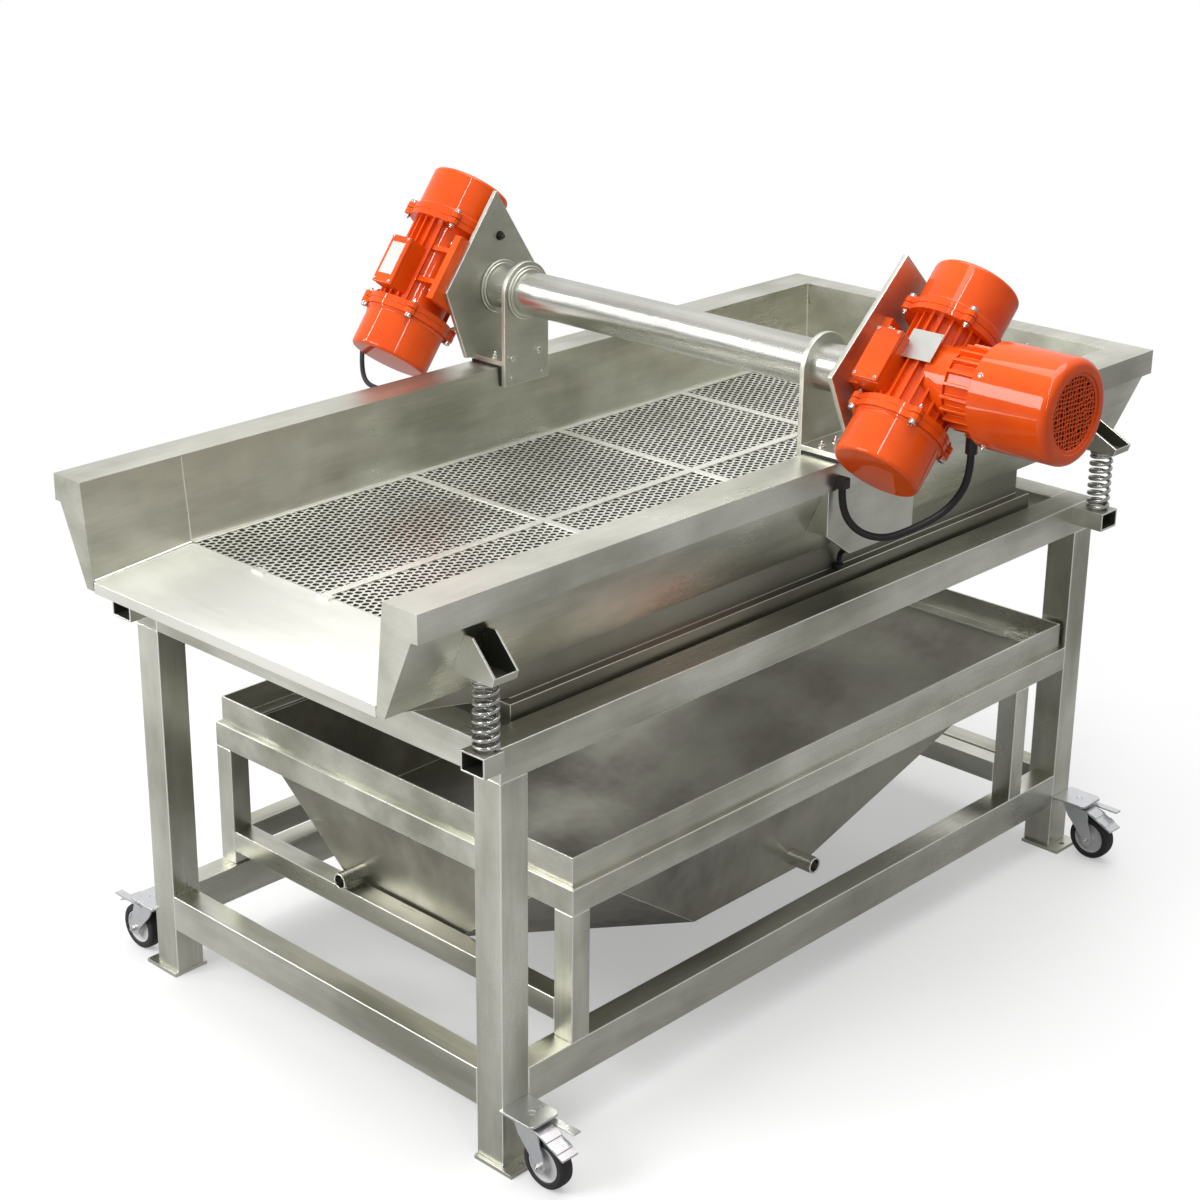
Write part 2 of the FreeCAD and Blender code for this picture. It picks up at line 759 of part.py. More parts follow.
def arch_bracket():
    """Round topped plate that hugs the cross tube, with a foot on the trough flange."""
    half = s.arch_width / 2
    low = s.trough_top - s.arch_overlap
    y0 = s.cross_tube_y - half
    y1 = s.cross_tube_y + half
    outline = slab_x([(y0, low), (y1, low), (y1, s.cross_tube_z), (y0, s.cross_tube_z)],
                     s.arch_inner_x, s.arch_inner_x + s.arch_thickness)
    crown = Part.makeCylinder(half, s.arch_thickness, V(s.arch_inner_x, s.cross_tube_y, s.cross_tube_z),
                              ALONG_X)
    seat = Part.makeCylinder(s.cross_tube_outside / 2, s.arch_thickness,
                             V(s.arch_inner_x, s.cross_tube_y, s.cross_tube_z), ALONG_X)
    base_low = s.trough_top + s.pad_thickness
    base = block(V(s.arch_inner_x + s.arch_thickness, y0, base_low),
                 V(s.trough_half_width + s.base_overhang, y1, s.base_top))
    return join([outline, crown, base]).cut(seat)


def make_arch_brackets():
    bracket = arch_bracket()
    solid("arch_brackets", Part.makeCompound([bracket, mirrored(bracket)]))


def make_pads():
    """Black rubber strips between the arch brackets and the trough."""
    half = s.arch_width / 2
    y0 = s.cross_tube_y - half
    y1 = s.cross_tube_y + half
    low = s.trough_top - s.arch_overlap
    inner = s.arch_inner_x + s.arch_thickness
    flat = block(V(inner, y0, s.trough_top), V(s.trough_half_width, y1, s.trough_top + s.pad_thickness))
    upright = slab_y([(inner, low), (wall_x(low), low), (wall_x(s.trough_top), s.trough_top),
                      (inner, s.trough_top)], y0, y1)
    pad = join([flat, upright])
    solid("rubber_pads", Part.makeCompound([pad, mirrored(pad)]))


def make_motor_plates():
    """Pointed plates at the tube ends, each outline as (y, z) corners."""
    middle = s.cross_tube_y
    apex = s.cross_tube_z + s.plate_apex_rise
    shoulder = s.cross_tube_z + s.plate_shoulder_rise
    left = [(middle + s.left_apex, apex), (middle + s.left_front_shoulder, shoulder),
            (middle + s.left_front_foot, s.base_top), (middle + s.left_rear_foot, s.base_top),
            (middle + s.left_rear_shoulder, shoulder)]
    right = [(middle + s.right_apex, apex), (middle + s.right_front_shoulder, shoulder),
             (middle + s.right_front_foot, s.base_top), (middle + s.right_rear_foot, s.base_top),
             (middle + s.right_rear_shoulder, s.cross_tube_z + s.right_rear_rise)]
    inner = s.motor_plate_x
    outer = inner + s.motor_plate_thickness
    plates = [mirrored(slab_x(left, inner, outer)), slab_x(right, inner, outer)]
    solid("motor_plates", Part.makeCompound(plates))


def make_gussets():
    """Plates under the flange with webs back to the slanting wall."""
    outer = s.trough_half_width - s.gusset_inset
    inner = outer - s.gusset_thickness
    low = s.trough_bottom + s.gusset_lift
    shoulder = low + s.gusset_chamfer
    face = [(s.gusset_front, s.lip_bottom), (s.gusset_front, shoulder), (s.gusset_front + s.gusset_run, low),
            (s.gusset_rear, low), (s.gusset_rear, s.lip_bottom)]
    plate = slab_x(face, inner, outer)
    web = [(skin_x(shoulder), shoulder), (inner, shoulder), (inner, s.lip_bottom),
           (skin_x(s.lip_bottom), s.lip_bottom)]
    webs = [slab_y(web, y, y + s.gusset_thickness)
            for y in (s.gusset_front, s.gusset_rear - s.gusset_thickness)]
    gusset = join([plate] + webs)
    solid("gussets", Part.makeCompound([gusset, mirrored(gusset)]))


# Vibrating motors. Each is drawn upright at the origin with its foot towards -X.

def motor_place(side):
    """Place of a motor: its distance from the cross tube and its lean back from upright."""
    if side == "left":
        across, back, rise, tilt = -1, s.left_motor_back, s.left_motor_rise, s.left_motor_tilt
    else:
        across, back, rise, tilt = 1, s.right_motor_back, s.right_motor_rise, s.right_motor_tilt
    centre = V(across * s.motor_x, s.cross_tube_y + back, s.cross_tube_z + rise)
    return FreeCAD.Placement(centre, FreeCAD.Rotation(ALONG_X, -tilt))


def set_in_place(shape, side):
    """Turns a piece for the left side round to face the other way, then places it."""
    placed = mirrored(shape) if side == "left" else shape.copy()
    return placed.transformed(motor_place(side).toMatrix(), True)


def finned_outline(core, fin, width, count, bare):
    """Points of a round core with straight fins, with none in a bare sector round -X of so many degrees."""
    points = []
    for k in range(count):
        middle = 2 * math.pi * k / count
        if abs(math.degrees(middle) - 180) < bare / 2:
            points.append((core * math.cos(middle), core * math.sin(middle)))
            continue
        for radius, sign in ((core, -1), (fin, -1), (fin, 1), (core, 1)):
            angle = middle + sign * math.asin(width / 2 / radius)
            points.append((radius * math.cos(angle), radius * math.sin(angle)))
    return points


def flange_ring(start):
    """Round flange at one end of the body: two joined rings with a groove between and four lugs."""
    outside = s.motor_flange_radius
    rings = [prism(UPWARD * start, UPWARD, outside, s.motor_flange, s.casting_sides)]
    for quarter in range(4):
        angle = math.radians(45 + 90 * quarter)
        lug = V(outside * math.cos(angle), outside * math.sin(angle), start)
        rings.append(prism(lug, UPWARD, s.lug_radius, s.motor_flange, s.pin_sides))
    flange = join(rings)
    middle = UPWARD * (start + (s.motor_flange - s.flange_groove) / 2)
    groove = prism(middle, UPWARD, 2 * outside, s.flange_groove, s.casting_sides)
    root = prism(middle, UPWARD, outside - s.flange_groove, s.flange_groove, s.casting_sides)
    return flange.cut(groove.cut(root))


def motor_body():
    """Finned housing between two flange rings, bare towards its foot, which has two ribs."""
    fins = finned_outline(s.motor_core_radius, s.motor_fin_radius, s.motor_fin_width, int(s.motor_fins),
                          s.bare_sector)
    body = slab_z(fins, -s.motor_body_half, s.motor_body_half)
    flanges = [flange_ring(-s.motor_body_half - s.motor_flange), flange_ring(s.motor_body_half)]
    face_x = -s.motor_reach
    half_y = s.motor_foot_width / 2
    half_z = s.motor_foot_length / 2
    pad = block(V(face_x, -half_y, -half_z), V(face_x + s.motor_foot_pad, half_y, half_z))
    half_rib = s.motor_foot_rib / 2
    ribs = [block(V(face_x, -half_y, z - half_rib), V(0, half_y, z + half_rib)) for z in (-half_z / 2, half_z / 2)]
    return join([body, pad] + ribs + flanges)


def make_motor_bodies():
    """Both bodies: the left with a boss for its cable gland, the right with a neck for the drive."""
    root = s.motor_core_radius / 2
    boss_depth = s.boss_reach + s.motor_fin_radius - root
    boss = prism(V(root, 0, s.left_boss_z), ALONG_X, s.gland_radius + s.boss_wall, boss_depth, s.pin_sides)
    neck = prism(V(root, 0, 0), ALONG_X, s.neck_radius, s.neck_reach - root, s.wheel_sides)
    left = set_in_place(join([motor_body(), boss]), "left")
    right = set_in_place(join([motor_body(), neck]), "right")
    solid("motor_bodies", Part.makeCompound([left, right]))


def drive_axis():
    """Point on the drive's level axis where its body meets the neck of the right motor."""
    return motor_place("right").Base + V(s.neck_reach, 0, 0)


def make_drive_body():
    """Finned drive on the neck of the right motor, along X, with a boss for its cable gland beneath."""
    start = drive_axis()
    fins = finned_outline(s.drive_core_radius, s.drive_fin_radius, s.drive_fin_width, int(s.drive_fins), 0)
    body = slab_x([(start.y + y, start.z + z) for y, z in fins], start.x, s.drive_end_x)
    height = s.drive_fin_radius / 2 + s.boss_reach
    boss_foot = V(s.motor_x + s.gland_reach, start.y, start.z - s.drive_fin_radius - s.boss_reach)
    boss = prism(boss_foot, UPWARD, s.gland_radius + s.boss_wall, height, s.pin_sides)
    solid("drive_body", join([body, boss]))


def make_motor_caps():
    """Round covers over the weights at both ends of each motor."""
    start = s.motor_body_half + s.motor_flange
    profile = [(s.motor_cap_radius, 0), (s.motor_cap_radius, s.motor_cap - s.motor_cap_chamfer),
               (s.motor_cap_radius - s.motor_cap_chamfer, s.motor_cap)]
    cap = turned(UPWARD * start, UPWARD, profile, s.casting_sides)
    low_cap = cap.mirror(V(0, 0, 0), UPWARD)
    caps = []
    for side in ("left", "right"):
        caps += [set_in_place(cap, side), set_in_place(low_cap, side)]
    solid("motor_caps", Part.makeCompound(caps))


def make_terminal_boxes():
    """Cable boxes on the upward facing side of each motor."""
    half_x = s.terminal_box_width / 2
    half_z = s.terminal_box_length / 2
    near = s.motor_foot_width / 2
    far = s.motor_fin_radius + s.terminal_box_height
    boxes = []
    for side, x in (("left", s.left_box_offset), ("right", s.right_box_offset)):
        case = block(V(x - half_x, -far, -half_z - s.terminal_box_drop),
                     V(x + half_x, -near, half_z - s.terminal_box_drop))
        core = Part.makeCylinder(s.motor_fin_radius, 4 * s.motor_body_half, V(0, 0, -2 * s.motor_body_half))
        boxes.append(set_in_place(case.cut(core), side))
    solid("terminal_boxes", Part.makeCompound(boxes))


def make_cowl():
    """Fan cowl on the drive with a round grille in its end."""
    start = drive_axis() + V(s.drive_length, 0, 0)
    length = s.cowl_length
    profile = [(s.cowl_radius, 0), (s.cowl_radius, length - s.cowl_chamfer),
               (s.cowl_radius - s.cowl_chamfer, length)]
    outer = turned(start, ALONG_X, profile, s.casting_sides)
    inside = start + V(s.cowl_wall, 0, 0)
    inner = prism(inside, ALONG_X, s.cowl_radius - s.cowl_wall, length - s.cowl_chamfer - 2 * s.cowl_wall,
                  s.casting_sides)
    mouth = prism(inside, ALONG_X, s.grille_radius, length, s.casting_sides)
    solid("fan_cowl", outer.cut(inner).cut(mouth))
    face = V(s.cowl_end_x - 2 * s.cowl_wall, start.y, start.z)
    grille = prism(face, ALONG_X, s.grille_radius, s.cowl_wall, s.casting_sides)
    holes = []
    for k in range(12):
        angle = math.radians(30 * k)
        radius = s.grille_radius * (s.outer_hole_share if k % 2 else s.inner_hole_share)
        centre = face + V(0, radius * math.cos(angle), radius * math.sin(angle))
        holes.append(prism(centre, ALONG_X, s.grille_hole, s.cowl_wall, s.pin_sides / 2))
    solid("cowl_grille", grille.cut(holes))


# Catch hopper

def make_ring():
    """Rectangular tube frame that carries the hopper, with one vent hole."""
    half = s.half_width
    low = s.ring_top - s.ring_depth
    outer = frame_of_sheet(half, s.hopper_front, s.hopper_rear, low, s.ring_top, s.ring_width)
    wall = s.tube_wall
    core = frame_of_sheet(half - wall, s.hopper_front - wall, s.hopper_rear - wall, low + wall,
                          s.ring_top - wall, s.ring_width - 2 * wall)
    vent = prism(V(half - s.ring_width / 2, 0, low - wall), UPWARD, s.vent_hole / 2, 3 * wall, s.pin_sides / 2)
    solid("hopper_ring", outer.cut(core).cut(vent))


def make_rim():
    """Upright tray edge on the ring with a flange turned in over the hopper mouth."""
    half = s.half_width - s.rim_inset
    front = s.hopper_front - s.rim_inset
    rear = s.hopper_rear - s.rim_inset
    upright = frame_of_sheet(half, front, rear, s.ring_top, s.ring_top + s.rim_height, s.sheet)
    flange = frame_of_sheet(half, front, rear, s.ring_top, s.ring_top + s.sheet, s.rim_flange)
    solid("hopper_rim", join([upright, flange]))


def hopper_solid(inset, floor_z, top_z):
    """Faceted funnel from a rectangular mouth down to a six sided floor."""
    half = s.half_width - s.rim_inset - s.rim_flange - inset
    front = -(s.hopper_front - s.rim_inset - s.rim_flange - inset)
    rear = s.hopper_rear - s.rim_inset - s.rim_flange - inset
    mouth = [V(-half, front, top_z), V(half, front, top_z), V(half, rear, top_z), V(-half, rear, top_z)]
    nose = s.floor_nose
    side = s.hopper_floor_half_width - inset
    floor_front = -s.hopper_floor_front + inset
    floor = [V(-nose, floor_front, floor_z), V(nose, floor_front, floor_z),
             V(side, -s.floor_corner, floor_z), V(side, s.floor_rear - inset, floor_z),
             V(-side, s.floor_rear - inset, floor_z), V(-side, -s.floor_corner, floor_z)]
    faces = [mouth, floor,
             [mouth[0], mouth[1], floor[1], floor[0]],
             [mouth[1], floor[2], floor[1]],
             [mouth[1], mouth[2], floor[3]], [mouth[1], floor[3], floor[2]],
             [mouth[2], mouth[3], floor[4], floor[3]],
             [mouth[3], mouth[0], floor[5]], [mouth[3], floor[5], floor[4]],
             [mouth[0], floor[0], floor[5]]]
    shell = Part.makeShell([polygon_face(face) for face in faces])
    body = Part.makeSolid(shell)
    if body.Volume < 0:
        body.reverse()
    return body


def make_hopper():
    outer = hopper_solid(0, s.hopper_bottom, s.ring_top)
    inner = hopper_solid(s.sheet, s.hopper_bottom + s.sheet, s.ring_top)
    shell = outer.cut(inner)
    spigots = []
    for base, axis in spigot_places():
        start = base - axis * s.spigot_reach
        passage = Part.makeCylinder(s.spigot_bore / 2, 2 * s.spigot_reach, start, axis)
        tube = prism(start, axis, s.spigot_outside / 2, 2 * s.spigot_reach, s.wheel_sides)
        spigots.append(tube.cut(passage).cut(outer))
        shell = shell.cut(passage)
    solid("hopper_shell", shell)
    kept = [max(piece.Solids, key=lambda one: abs(one.CenterOfMass.x) + abs(one.CenterOfMass.y))
            for piece in spigots]
    solid("drain_spigots", Part.makeCompound(kept))


def spigot_places():
    front = V(s.front_spigot_x, -s.hopper_floor_front, s.spigot_z)
    side = V(s.hopper_floor_half_width, s.side_spigot_y, s.spigot_z)
    return [(front, V(0, -1, 0)), (side, ALONG_X)]


def make_hopper_stand():
    """Legs of the hopper on the lower side rails, with a low bar at each end and one along the left."""
    leg_size = ("hopper_leg_tube", "hopper_leg_tube", "ring_top - ring_depth - lower_rail_top")
    leg_x = "frame_width / 2 - hopper_leg_tube"
    front_y = "hopper_front_gap - frame_length / 2"
    rear_y = "frame_length / 2 - hopper_leg_gap - hopper_leg_tube"
    front = open_tube("HopperFrontLeg", leg_size, (leg_x, front_y, "lower_rail_top"), 2)
    rear_at = (leg_x, rear_y, "lower_rail_top")
    rear = open_tube("HopperRearLeg", leg_size, rear_at, 2)
    legs = both_sides("HopperFrontLeg", front) + both_sides("HopperRearLeg", rear)
    finish("hopper_legs", gather("HopperLegs", legs))
    bar_size = ("frame_width - 2 * hopper_leg_tube", "hopper_leg_tube", "hopper_leg_tube")
    bar_x = "hopper_leg_tube - frame_width / 2"
    bar_z = "hopper_bottom + hopper_bar_rise - hopper_leg_tube"
    bars = []
    for name, y in (("HopperFrontBar", front_y), ("HopperRearBar", rear_y)):
        bars.append(open_tube(name, bar_size, (bar_x, y, bar_z), 0))
    side_size = ("hopper_leg_tube", "frame_length - hopper_leg_gap - hopper_front_gap - 2 * hopper_leg_tube",
                 "hopper_leg_tube")
    side_at = ("frame_width / -2", front_y + " + hopper_leg_tube", bar_z)
    finish("hopper_side_bar", open_tube("HopperSideBar", side_size, side_at, 1))
    finish("hopper_cross_bars", gather("HopperCrossBars", bars))


# Brake casters: four like units. Each is drawn with its pivot over the origin and its wheel towards +X.

CORNERS = {
    "front_right": (1, -1),
    "front_left": (-1, -1),
    "rear_right": (1, 1),
    "rear_left": (-1, 1),
}


def to_corner(shape, corner):
    """Turns a piece to face outwards and sets it under its top plate."""
    across, along = CORNERS[corner]
    turn = FreeCAD.Rotation(UPWARD, 0 if across > 0 else 180)
    pivot = V(across * (s.half_width + s.caster_pivot_reach), along * (s.half_length - s.caster_inset), 0)
    return shape.transformed(FreeCAD.Placement(pivot, turn).toMatrix(), True)


def caster_plate():
    inner = -s.caster_pivot_reach
    half = s.caster_plate_width / 2
    low = s.caster_plate_top - s.caster_plate_thickness
    plate = block(V(inner, -half, low), V(inner + s.caster_plate_reach, half, s.caster_plate_top))
    outer_edges = [edge for edge in plate.Edges
                   if edge.BoundBox.ZLength > 1 and edge.BoundBox.XMin > inner + 1]
    plate = plate.makeChamfer(s.caster_plate_corner, outer_edges)
    return plate.cut(bore(UPWARD * low, UPWARD, s.kingpin / 2 + s.running_clearance, s.caster_plate_thickness,
                          s.pin_sides))


def cheek_outline(top, axle_z):
    """Fork cheek seen from the side: broad at the crown, slanting down to the axle."""
    foot = s.cheek_foot
    return [(-s.crown_back, top), (s.crown_front, top), (s.caster_trail + foot, axle_z + 2),
            (s.caster_trail + foot / 2, axle_z - foot), (s.caster_trail - foot / 2, axle_z - foot),
            (s.caster_trail - foot, axle_z + 2), (-s.crown_back / 2, top - s.crown_back)]


def pedal_outline(top):
    """Brake pedal seen from the side: flat over the crown, then sloping down with pressed ribs."""
    bend = s.crown_front + s.fork_sheet
    drop = s.pedal_drop / (s.pedal_reach - bend)
    bands = int(s.pedal_bands)
    step = (s.pedal_reach - bend) / bands
    points = [(0, top - s.fork_sheet), (0, top)]
    for k in range(bands):
        lift = s.pedal_rib if k % 2 else 0
        for x in (bend + k * step, bend + (k + 1) * step):
            points.append((x, top - (x - bend) * drop + lift))
    return points + [(s.pedal_reach, top - s.pedal_drop - s.fork_sheet), (bend, top - s.fork_sheet)]


def caster_fork():
    """Pressed fork with a race, a kingpin and an axle, a ribbed brake pedal and a release tab."""
    axle_z = s.wheel_floor_gap + s.wheel_diameter / 2
    race_top = s.caster_plate_top - s.caster_plate_thickness - s.face_clearance
    top = race_top - s.race_height
    half = s.fork_gap / 2 + s.fork_sheet
    race = prism(UPWARD * top, UPWARD, s.race_radius, s.race_height, s.pin_sides)
    pin = prism(UPWARD * race_top, UPWARD, s.kingpin / 2, s.caster_plate_thickness, s.pin_sides)
    crown = block(V(-s.crown_back, -half, top - s.fork_sheet), V(s.crown_front, half, top))
    cheek = cheek_outline(top, axle_z)
    cheeks = [slab_y(cheek, -half, s.fork_sheet - half), slab_y(cheek, half - s.fork_sheet, half)]
    axle_half = half + s.axle_end
    axle = prism(V(s.caster_trail, -axle_half, axle_z), ALONG_Y, s.axle / 2, 2 * axle_half, s.pin_sides)
    pedal_start = s.pedal_width / 3 - s.pedal_width
    pedal = slab_y(pedal_outline(top), pedal_start, pedal_start + s.pedal_width)
    tab_start = pedal_start + s.pedal_width + s.tab_gap
    tab = block(V(0, tab_start, top - s.fork_sheet), V(s.tab_reach, tab_start + s.tab_width, top))
    return join([crown, race, pin, axle, pedal, tab] + cheeks)


def caster_wheel():
    """Wheel with a bevelled tyre, a recessed web, a full width hub and a bore."""
    radius = s.wheel_diameter / 2
    half = s.wheel_width / 2
    centre = V(s.caster_trail, 0, s.wheel_floor_gap + radius)
    profile = [(radius - s.tread_chamfer, -half), (radius, s.tread_chamfer - half),
               (radius, half - s.tread_chamfer), (radius - s.tread_chamfer, half)]
    wheel = turned(centre, ALONG_Y, profile, s.wheel_sides)
    for start in (-half, half - s.web_recess):
        wheel = wheel.cut(prism(centre + ALONG_Y * start, ALONG_Y, s.web_radius, s.web_recess, s.pin_sides))
    hub_half = s.fork_gap / 2 - s.face_clearance
    hub_start = centre - ALONG_Y * hub_half
    hub = prism(hub_start, ALONG_Y, s.hub_radius, 2 * hub_half, s.pin_sides)
    hole = bore(hub_start, ALONG_Y, s.axle / 2 + s.running_clearance, 2 * hub_half, s.pin_sides)
    return join([wheel, hub]).cut(hole)


def make_casters():
    plate = caster_plate()
    solid("caster_plates", Part.makeCompound([to_corner(plate, corner) for corner in CORNERS]))
    fork = caster_fork()
    wheel = caster_wheel()
    for corner in CORNERS:
        solid("caster_fork_" + corner, to_corner(fork, corner))
        solid("caster_wheel_" + corner, to_corner(wheel, corner))


# Cables

# Points of each route, set out from the frame's side, the cross tube and the flange.
DRIVE_CABLE_ROUTE = [
    (149, 47, 28), (149, 47, 2), (142, 43, -30), (121, 30, -64), (86, 8, -91), (52, -15, -110),
    (19, -37, -101), (0, -50, -68), (0, -50, -36),
]
RIGHT_LEAD_ROUTE = [
    (-26, 13, -122), (-26, 13, -138), (-33, 17, -156), (-50, 29, -164), (-66, 38, -176),
    (-66, 38, -192),
]
LEFT_LEAD_ROUTE = [
    (141, -102, 99), (157, -102, 99), (171, -104, 86), (174, -114, 60), (164, -134, 28),
    (140, -160, -2), (106, -188, -18), (70, -210, -22), (36, -221, -20), (8, -221, -20),
]


def route(across, offsets):
    return [V(across * (s.half_width + x), s.cross_tube_y + y, s.trough_top + z) for x, y, z in offsets]


def rounded_route(points):
    """The route with each corner replaced by short chords of the largest arc that its runs allow."""
    line = [points[0]]
    radii = []
    length = 0
    for before, corner, after in zip(points, points[1:], points[2:]):
        inward = (corner - before).normalize()
        onward = (after - corner).normalize()
        turn = inward.getAngle(onward)
        setback = s.bend_share * min((corner - before).Length, (after - corner).Length)
        radius = setback / math.tan(turn / 2)
        radii.append(radius)
        sideways = (onward - inward * math.cos(turn)) * (1 / math.sin(turn))
        arc_start = corner - inward * setback
        length += (arc_start - line[-1]).Length + radius * turn
        for chord in range(int(s.bend_chords) + 1):
            swept = turn * chord / s.bend_chords
            line.append(arc_start + inward * (radius * math.sin(swept))
                        + sideways * (radius * (1 - math.cos(swept))))
    length += (points[-1] - line[-1]).Length
    return line + [points[-1]], radii, length


def tube_along(points, diameter):
    """A six sided cable along its route."""
    line, radii, length = rounded_route(points)
    loops = mitred_loops(line, diameter / 2, int(s.cable_sides))
    tube = banded_solid(loops)
    section = polygon_face(loops[0]).Area
    print("cable radii", [round(radius, 1) for radius in radii], "length", round(length, 1),
          "volume over section times length", round(tube.Volume / (section * length), 4))
    return tube


def make_cable_ends():
    """Glands, clips and the grommet that hold the ends of the three cables."""
    drive_route, right_route, left_route = cable_routes()
    drive = drive_route[0]
    gland_length = drive_axis().z - s.drive_fin_radius - s.boss_reach - drive.z
    drive_gland = prism(drive, UPWARD, s.gland_radius, gland_length, s.pin_sides)
    flank = s.motor_fin_radius + s.boss_reach
    lead_gland = prism(V(flank, 0, s.left_boss_z), ALONG_X, s.gland_radius, s.gland_radius, s.pin_sides)
    half = s.clip_size / 2
    clips = []
    for end, step in ((drive_route[-1], V(0, 0, half)), (right_route[0], V(0, 0, half)),
                      (left_route[-1], V(half, 0, 0))):
        centre = end + step
        clips.append(block(centre - V(half, half, half), centre + V(half, half, half)))
    grommet_end = right_route[-1]
    grommet_foot = V(grommet_end.x, grommet_end.y, s.skirt_top)
    grommet = prism(grommet_foot, UPWARD, s.clip_size / 2, grommet_end.z - s.skirt_top, s.pin_sides)
    solid("cable_glands", Part.makeCompound([drive_gland, set_in_place(lead_gland, "left"), grommet] + clips))


def cable_routes():
    return route(1, DRIVE_CABLE_ROUTE), route(1, RIGHT_LEAD_ROUTE), route(-1, LEFT_LEAD_ROUTE)


def make_cables():
    make_cable_ends()
    diameters = (s.drive_cable, s.lead_cable, s.lead_cable)
    for node, points, diameter in zip(("drive_cable", "right_lead", "left_lead"), cable_routes(), diameters):
        solid(node, tube_along(points, diameter))


def build():
    make_legs()
    make_foot_plates()
    make_side_rails()
    make_cross_rails()
    make_spring_seats()
    make_springs()
    make_trough_sides()
    make_trough_end()
    make_apron()
    make_deck()
    make_catch_box()
    make_spring_brackets()
    make_cross_tube()
    make_collars()
    make_arch_brackets()
    make_pads()
    make_motor_plates()
    make_gussets()
    make_motor_bodies()
    make_drive_body()
    make_motor_caps()
    make_terminal_boxes()
    make_cowl()
    make_ring()
    make_rim()
    make_hopper()
    make_hopper_stand()
    make_casters()
    make_cables()


def write():
    doc.recompute()
    for thing in doc.Objects:
        if {"Invalid", "Error"} & set(thing.State):
            raise RuntimeError("failed: " + thing.Name)
    for node, thing in PARTS:
        if thing.Shape.isNull() or not thing.Shape.isValid():
            raise RuntimeError("bad shape: " + node)
    os.makedirs("parts", exist_ok=True)
    for node, thing in PARTS:
        thing.Shape.exportStep("parts/%s.step" % node)


build()
write()
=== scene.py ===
import json
import math

import bmesh
import bpy
from mathutils import Matrix, Vector, noise


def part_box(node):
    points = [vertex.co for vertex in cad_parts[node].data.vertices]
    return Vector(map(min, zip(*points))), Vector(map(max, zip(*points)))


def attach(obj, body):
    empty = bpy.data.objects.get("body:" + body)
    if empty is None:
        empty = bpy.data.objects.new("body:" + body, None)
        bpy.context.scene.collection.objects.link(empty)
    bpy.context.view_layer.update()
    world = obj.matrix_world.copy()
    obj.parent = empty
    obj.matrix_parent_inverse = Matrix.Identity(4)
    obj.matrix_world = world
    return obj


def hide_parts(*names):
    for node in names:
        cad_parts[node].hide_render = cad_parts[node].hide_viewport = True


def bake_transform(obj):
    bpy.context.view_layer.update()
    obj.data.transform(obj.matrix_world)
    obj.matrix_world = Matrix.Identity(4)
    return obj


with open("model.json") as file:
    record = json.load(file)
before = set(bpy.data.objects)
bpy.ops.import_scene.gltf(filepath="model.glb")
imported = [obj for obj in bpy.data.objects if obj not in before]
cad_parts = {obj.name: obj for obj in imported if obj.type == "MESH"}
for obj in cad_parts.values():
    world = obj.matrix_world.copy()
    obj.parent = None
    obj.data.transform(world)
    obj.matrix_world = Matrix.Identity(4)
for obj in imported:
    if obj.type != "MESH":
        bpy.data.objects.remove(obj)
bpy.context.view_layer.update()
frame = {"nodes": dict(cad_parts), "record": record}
NODES = frame["nodes"]
BODY_OF = {node: body for body, nodes in frame["record"]["behaviour"]["bodies"].items()
           for node in nodes}
NOISE_SEED = 7
noise.seed_set(NOISE_SEED)

# Places on the machine in metres: +X is the right side, -Y the discharge end

SIDES = (("left", -1), ("right", 1))
CORNERS = {"front_right": (1, -1), "front_left": (-1, -1),
           "rear_right": (1, 1), "rear_left": (-1, 1)}
DECK_TOP = 0.722
WALL_FOOT = 0.3030
WALL_HEAD = 0.3168
WALL_TOP = 0.850
WALL_LEAN = 0.014 / 0.130
END_WALL_FOOT = 0.785
END_WALL_HEAD = 0.799
APRON_START = -0.640
APRON_LIP = Vector((0.3016, -0.813, 0.7085))
TUBE_Y = 0.050
TUBE_Z = 0.972
TUBE_R = 0.035
ARCH_FACE = 0.302
PLATE_FACE = 0.364
SPRINGS = ((0.374, -0.697), (-0.374, -0.697), (0.422, 0.641), (-0.422, 0.641))
MOTOR_PLACES = {
    "left": Matrix.Translation((-0.453, -0.022, 0.991))
    @ Matrix.Rotation(math.radians(-37), 4, "X"),
    "right": Matrix.Translation((0.453, 0.099, 0.973))
    @ Matrix.Rotation(math.radians(-44), 4, "X"),
}
DRIVE_AXIS = Vector((0.572, 0.099, 0.973))
WHEEL_X = 0.454
WHEEL_Y = 0.665
WHEEL_Z = 0.0385


# Finishes

class Level:
    """A number that varies over a surface, used in plain arithmetic."""

    def __init__(self, nodes, socket):
        self.nodes = nodes
        self.socket = socket

    def maths(self, operation, first, second):
        node = self.nodes.node("Math", {"operation": operation}, {0: first, 1: second})
        return Level(self.nodes, node.outputs[0])

    def __add__(self, other):
        return self.maths("ADD", self, other)

    def __radd__(self, other):
        return self.maths("ADD", other, self)

    def __sub__(self, other):
        return self.maths("SUBTRACT", self, other)

    def __rsub__(self, other):
        return self.maths("SUBTRACT", other, self)

    def __mul__(self, other):
        return self.maths("MULTIPLY", self, other)

    def held(self):
        """The same level kept between 0 and 1."""
        return Level(self.nodes, self.nodes.node("Clamp", {}, {0: self}).outputs[0])


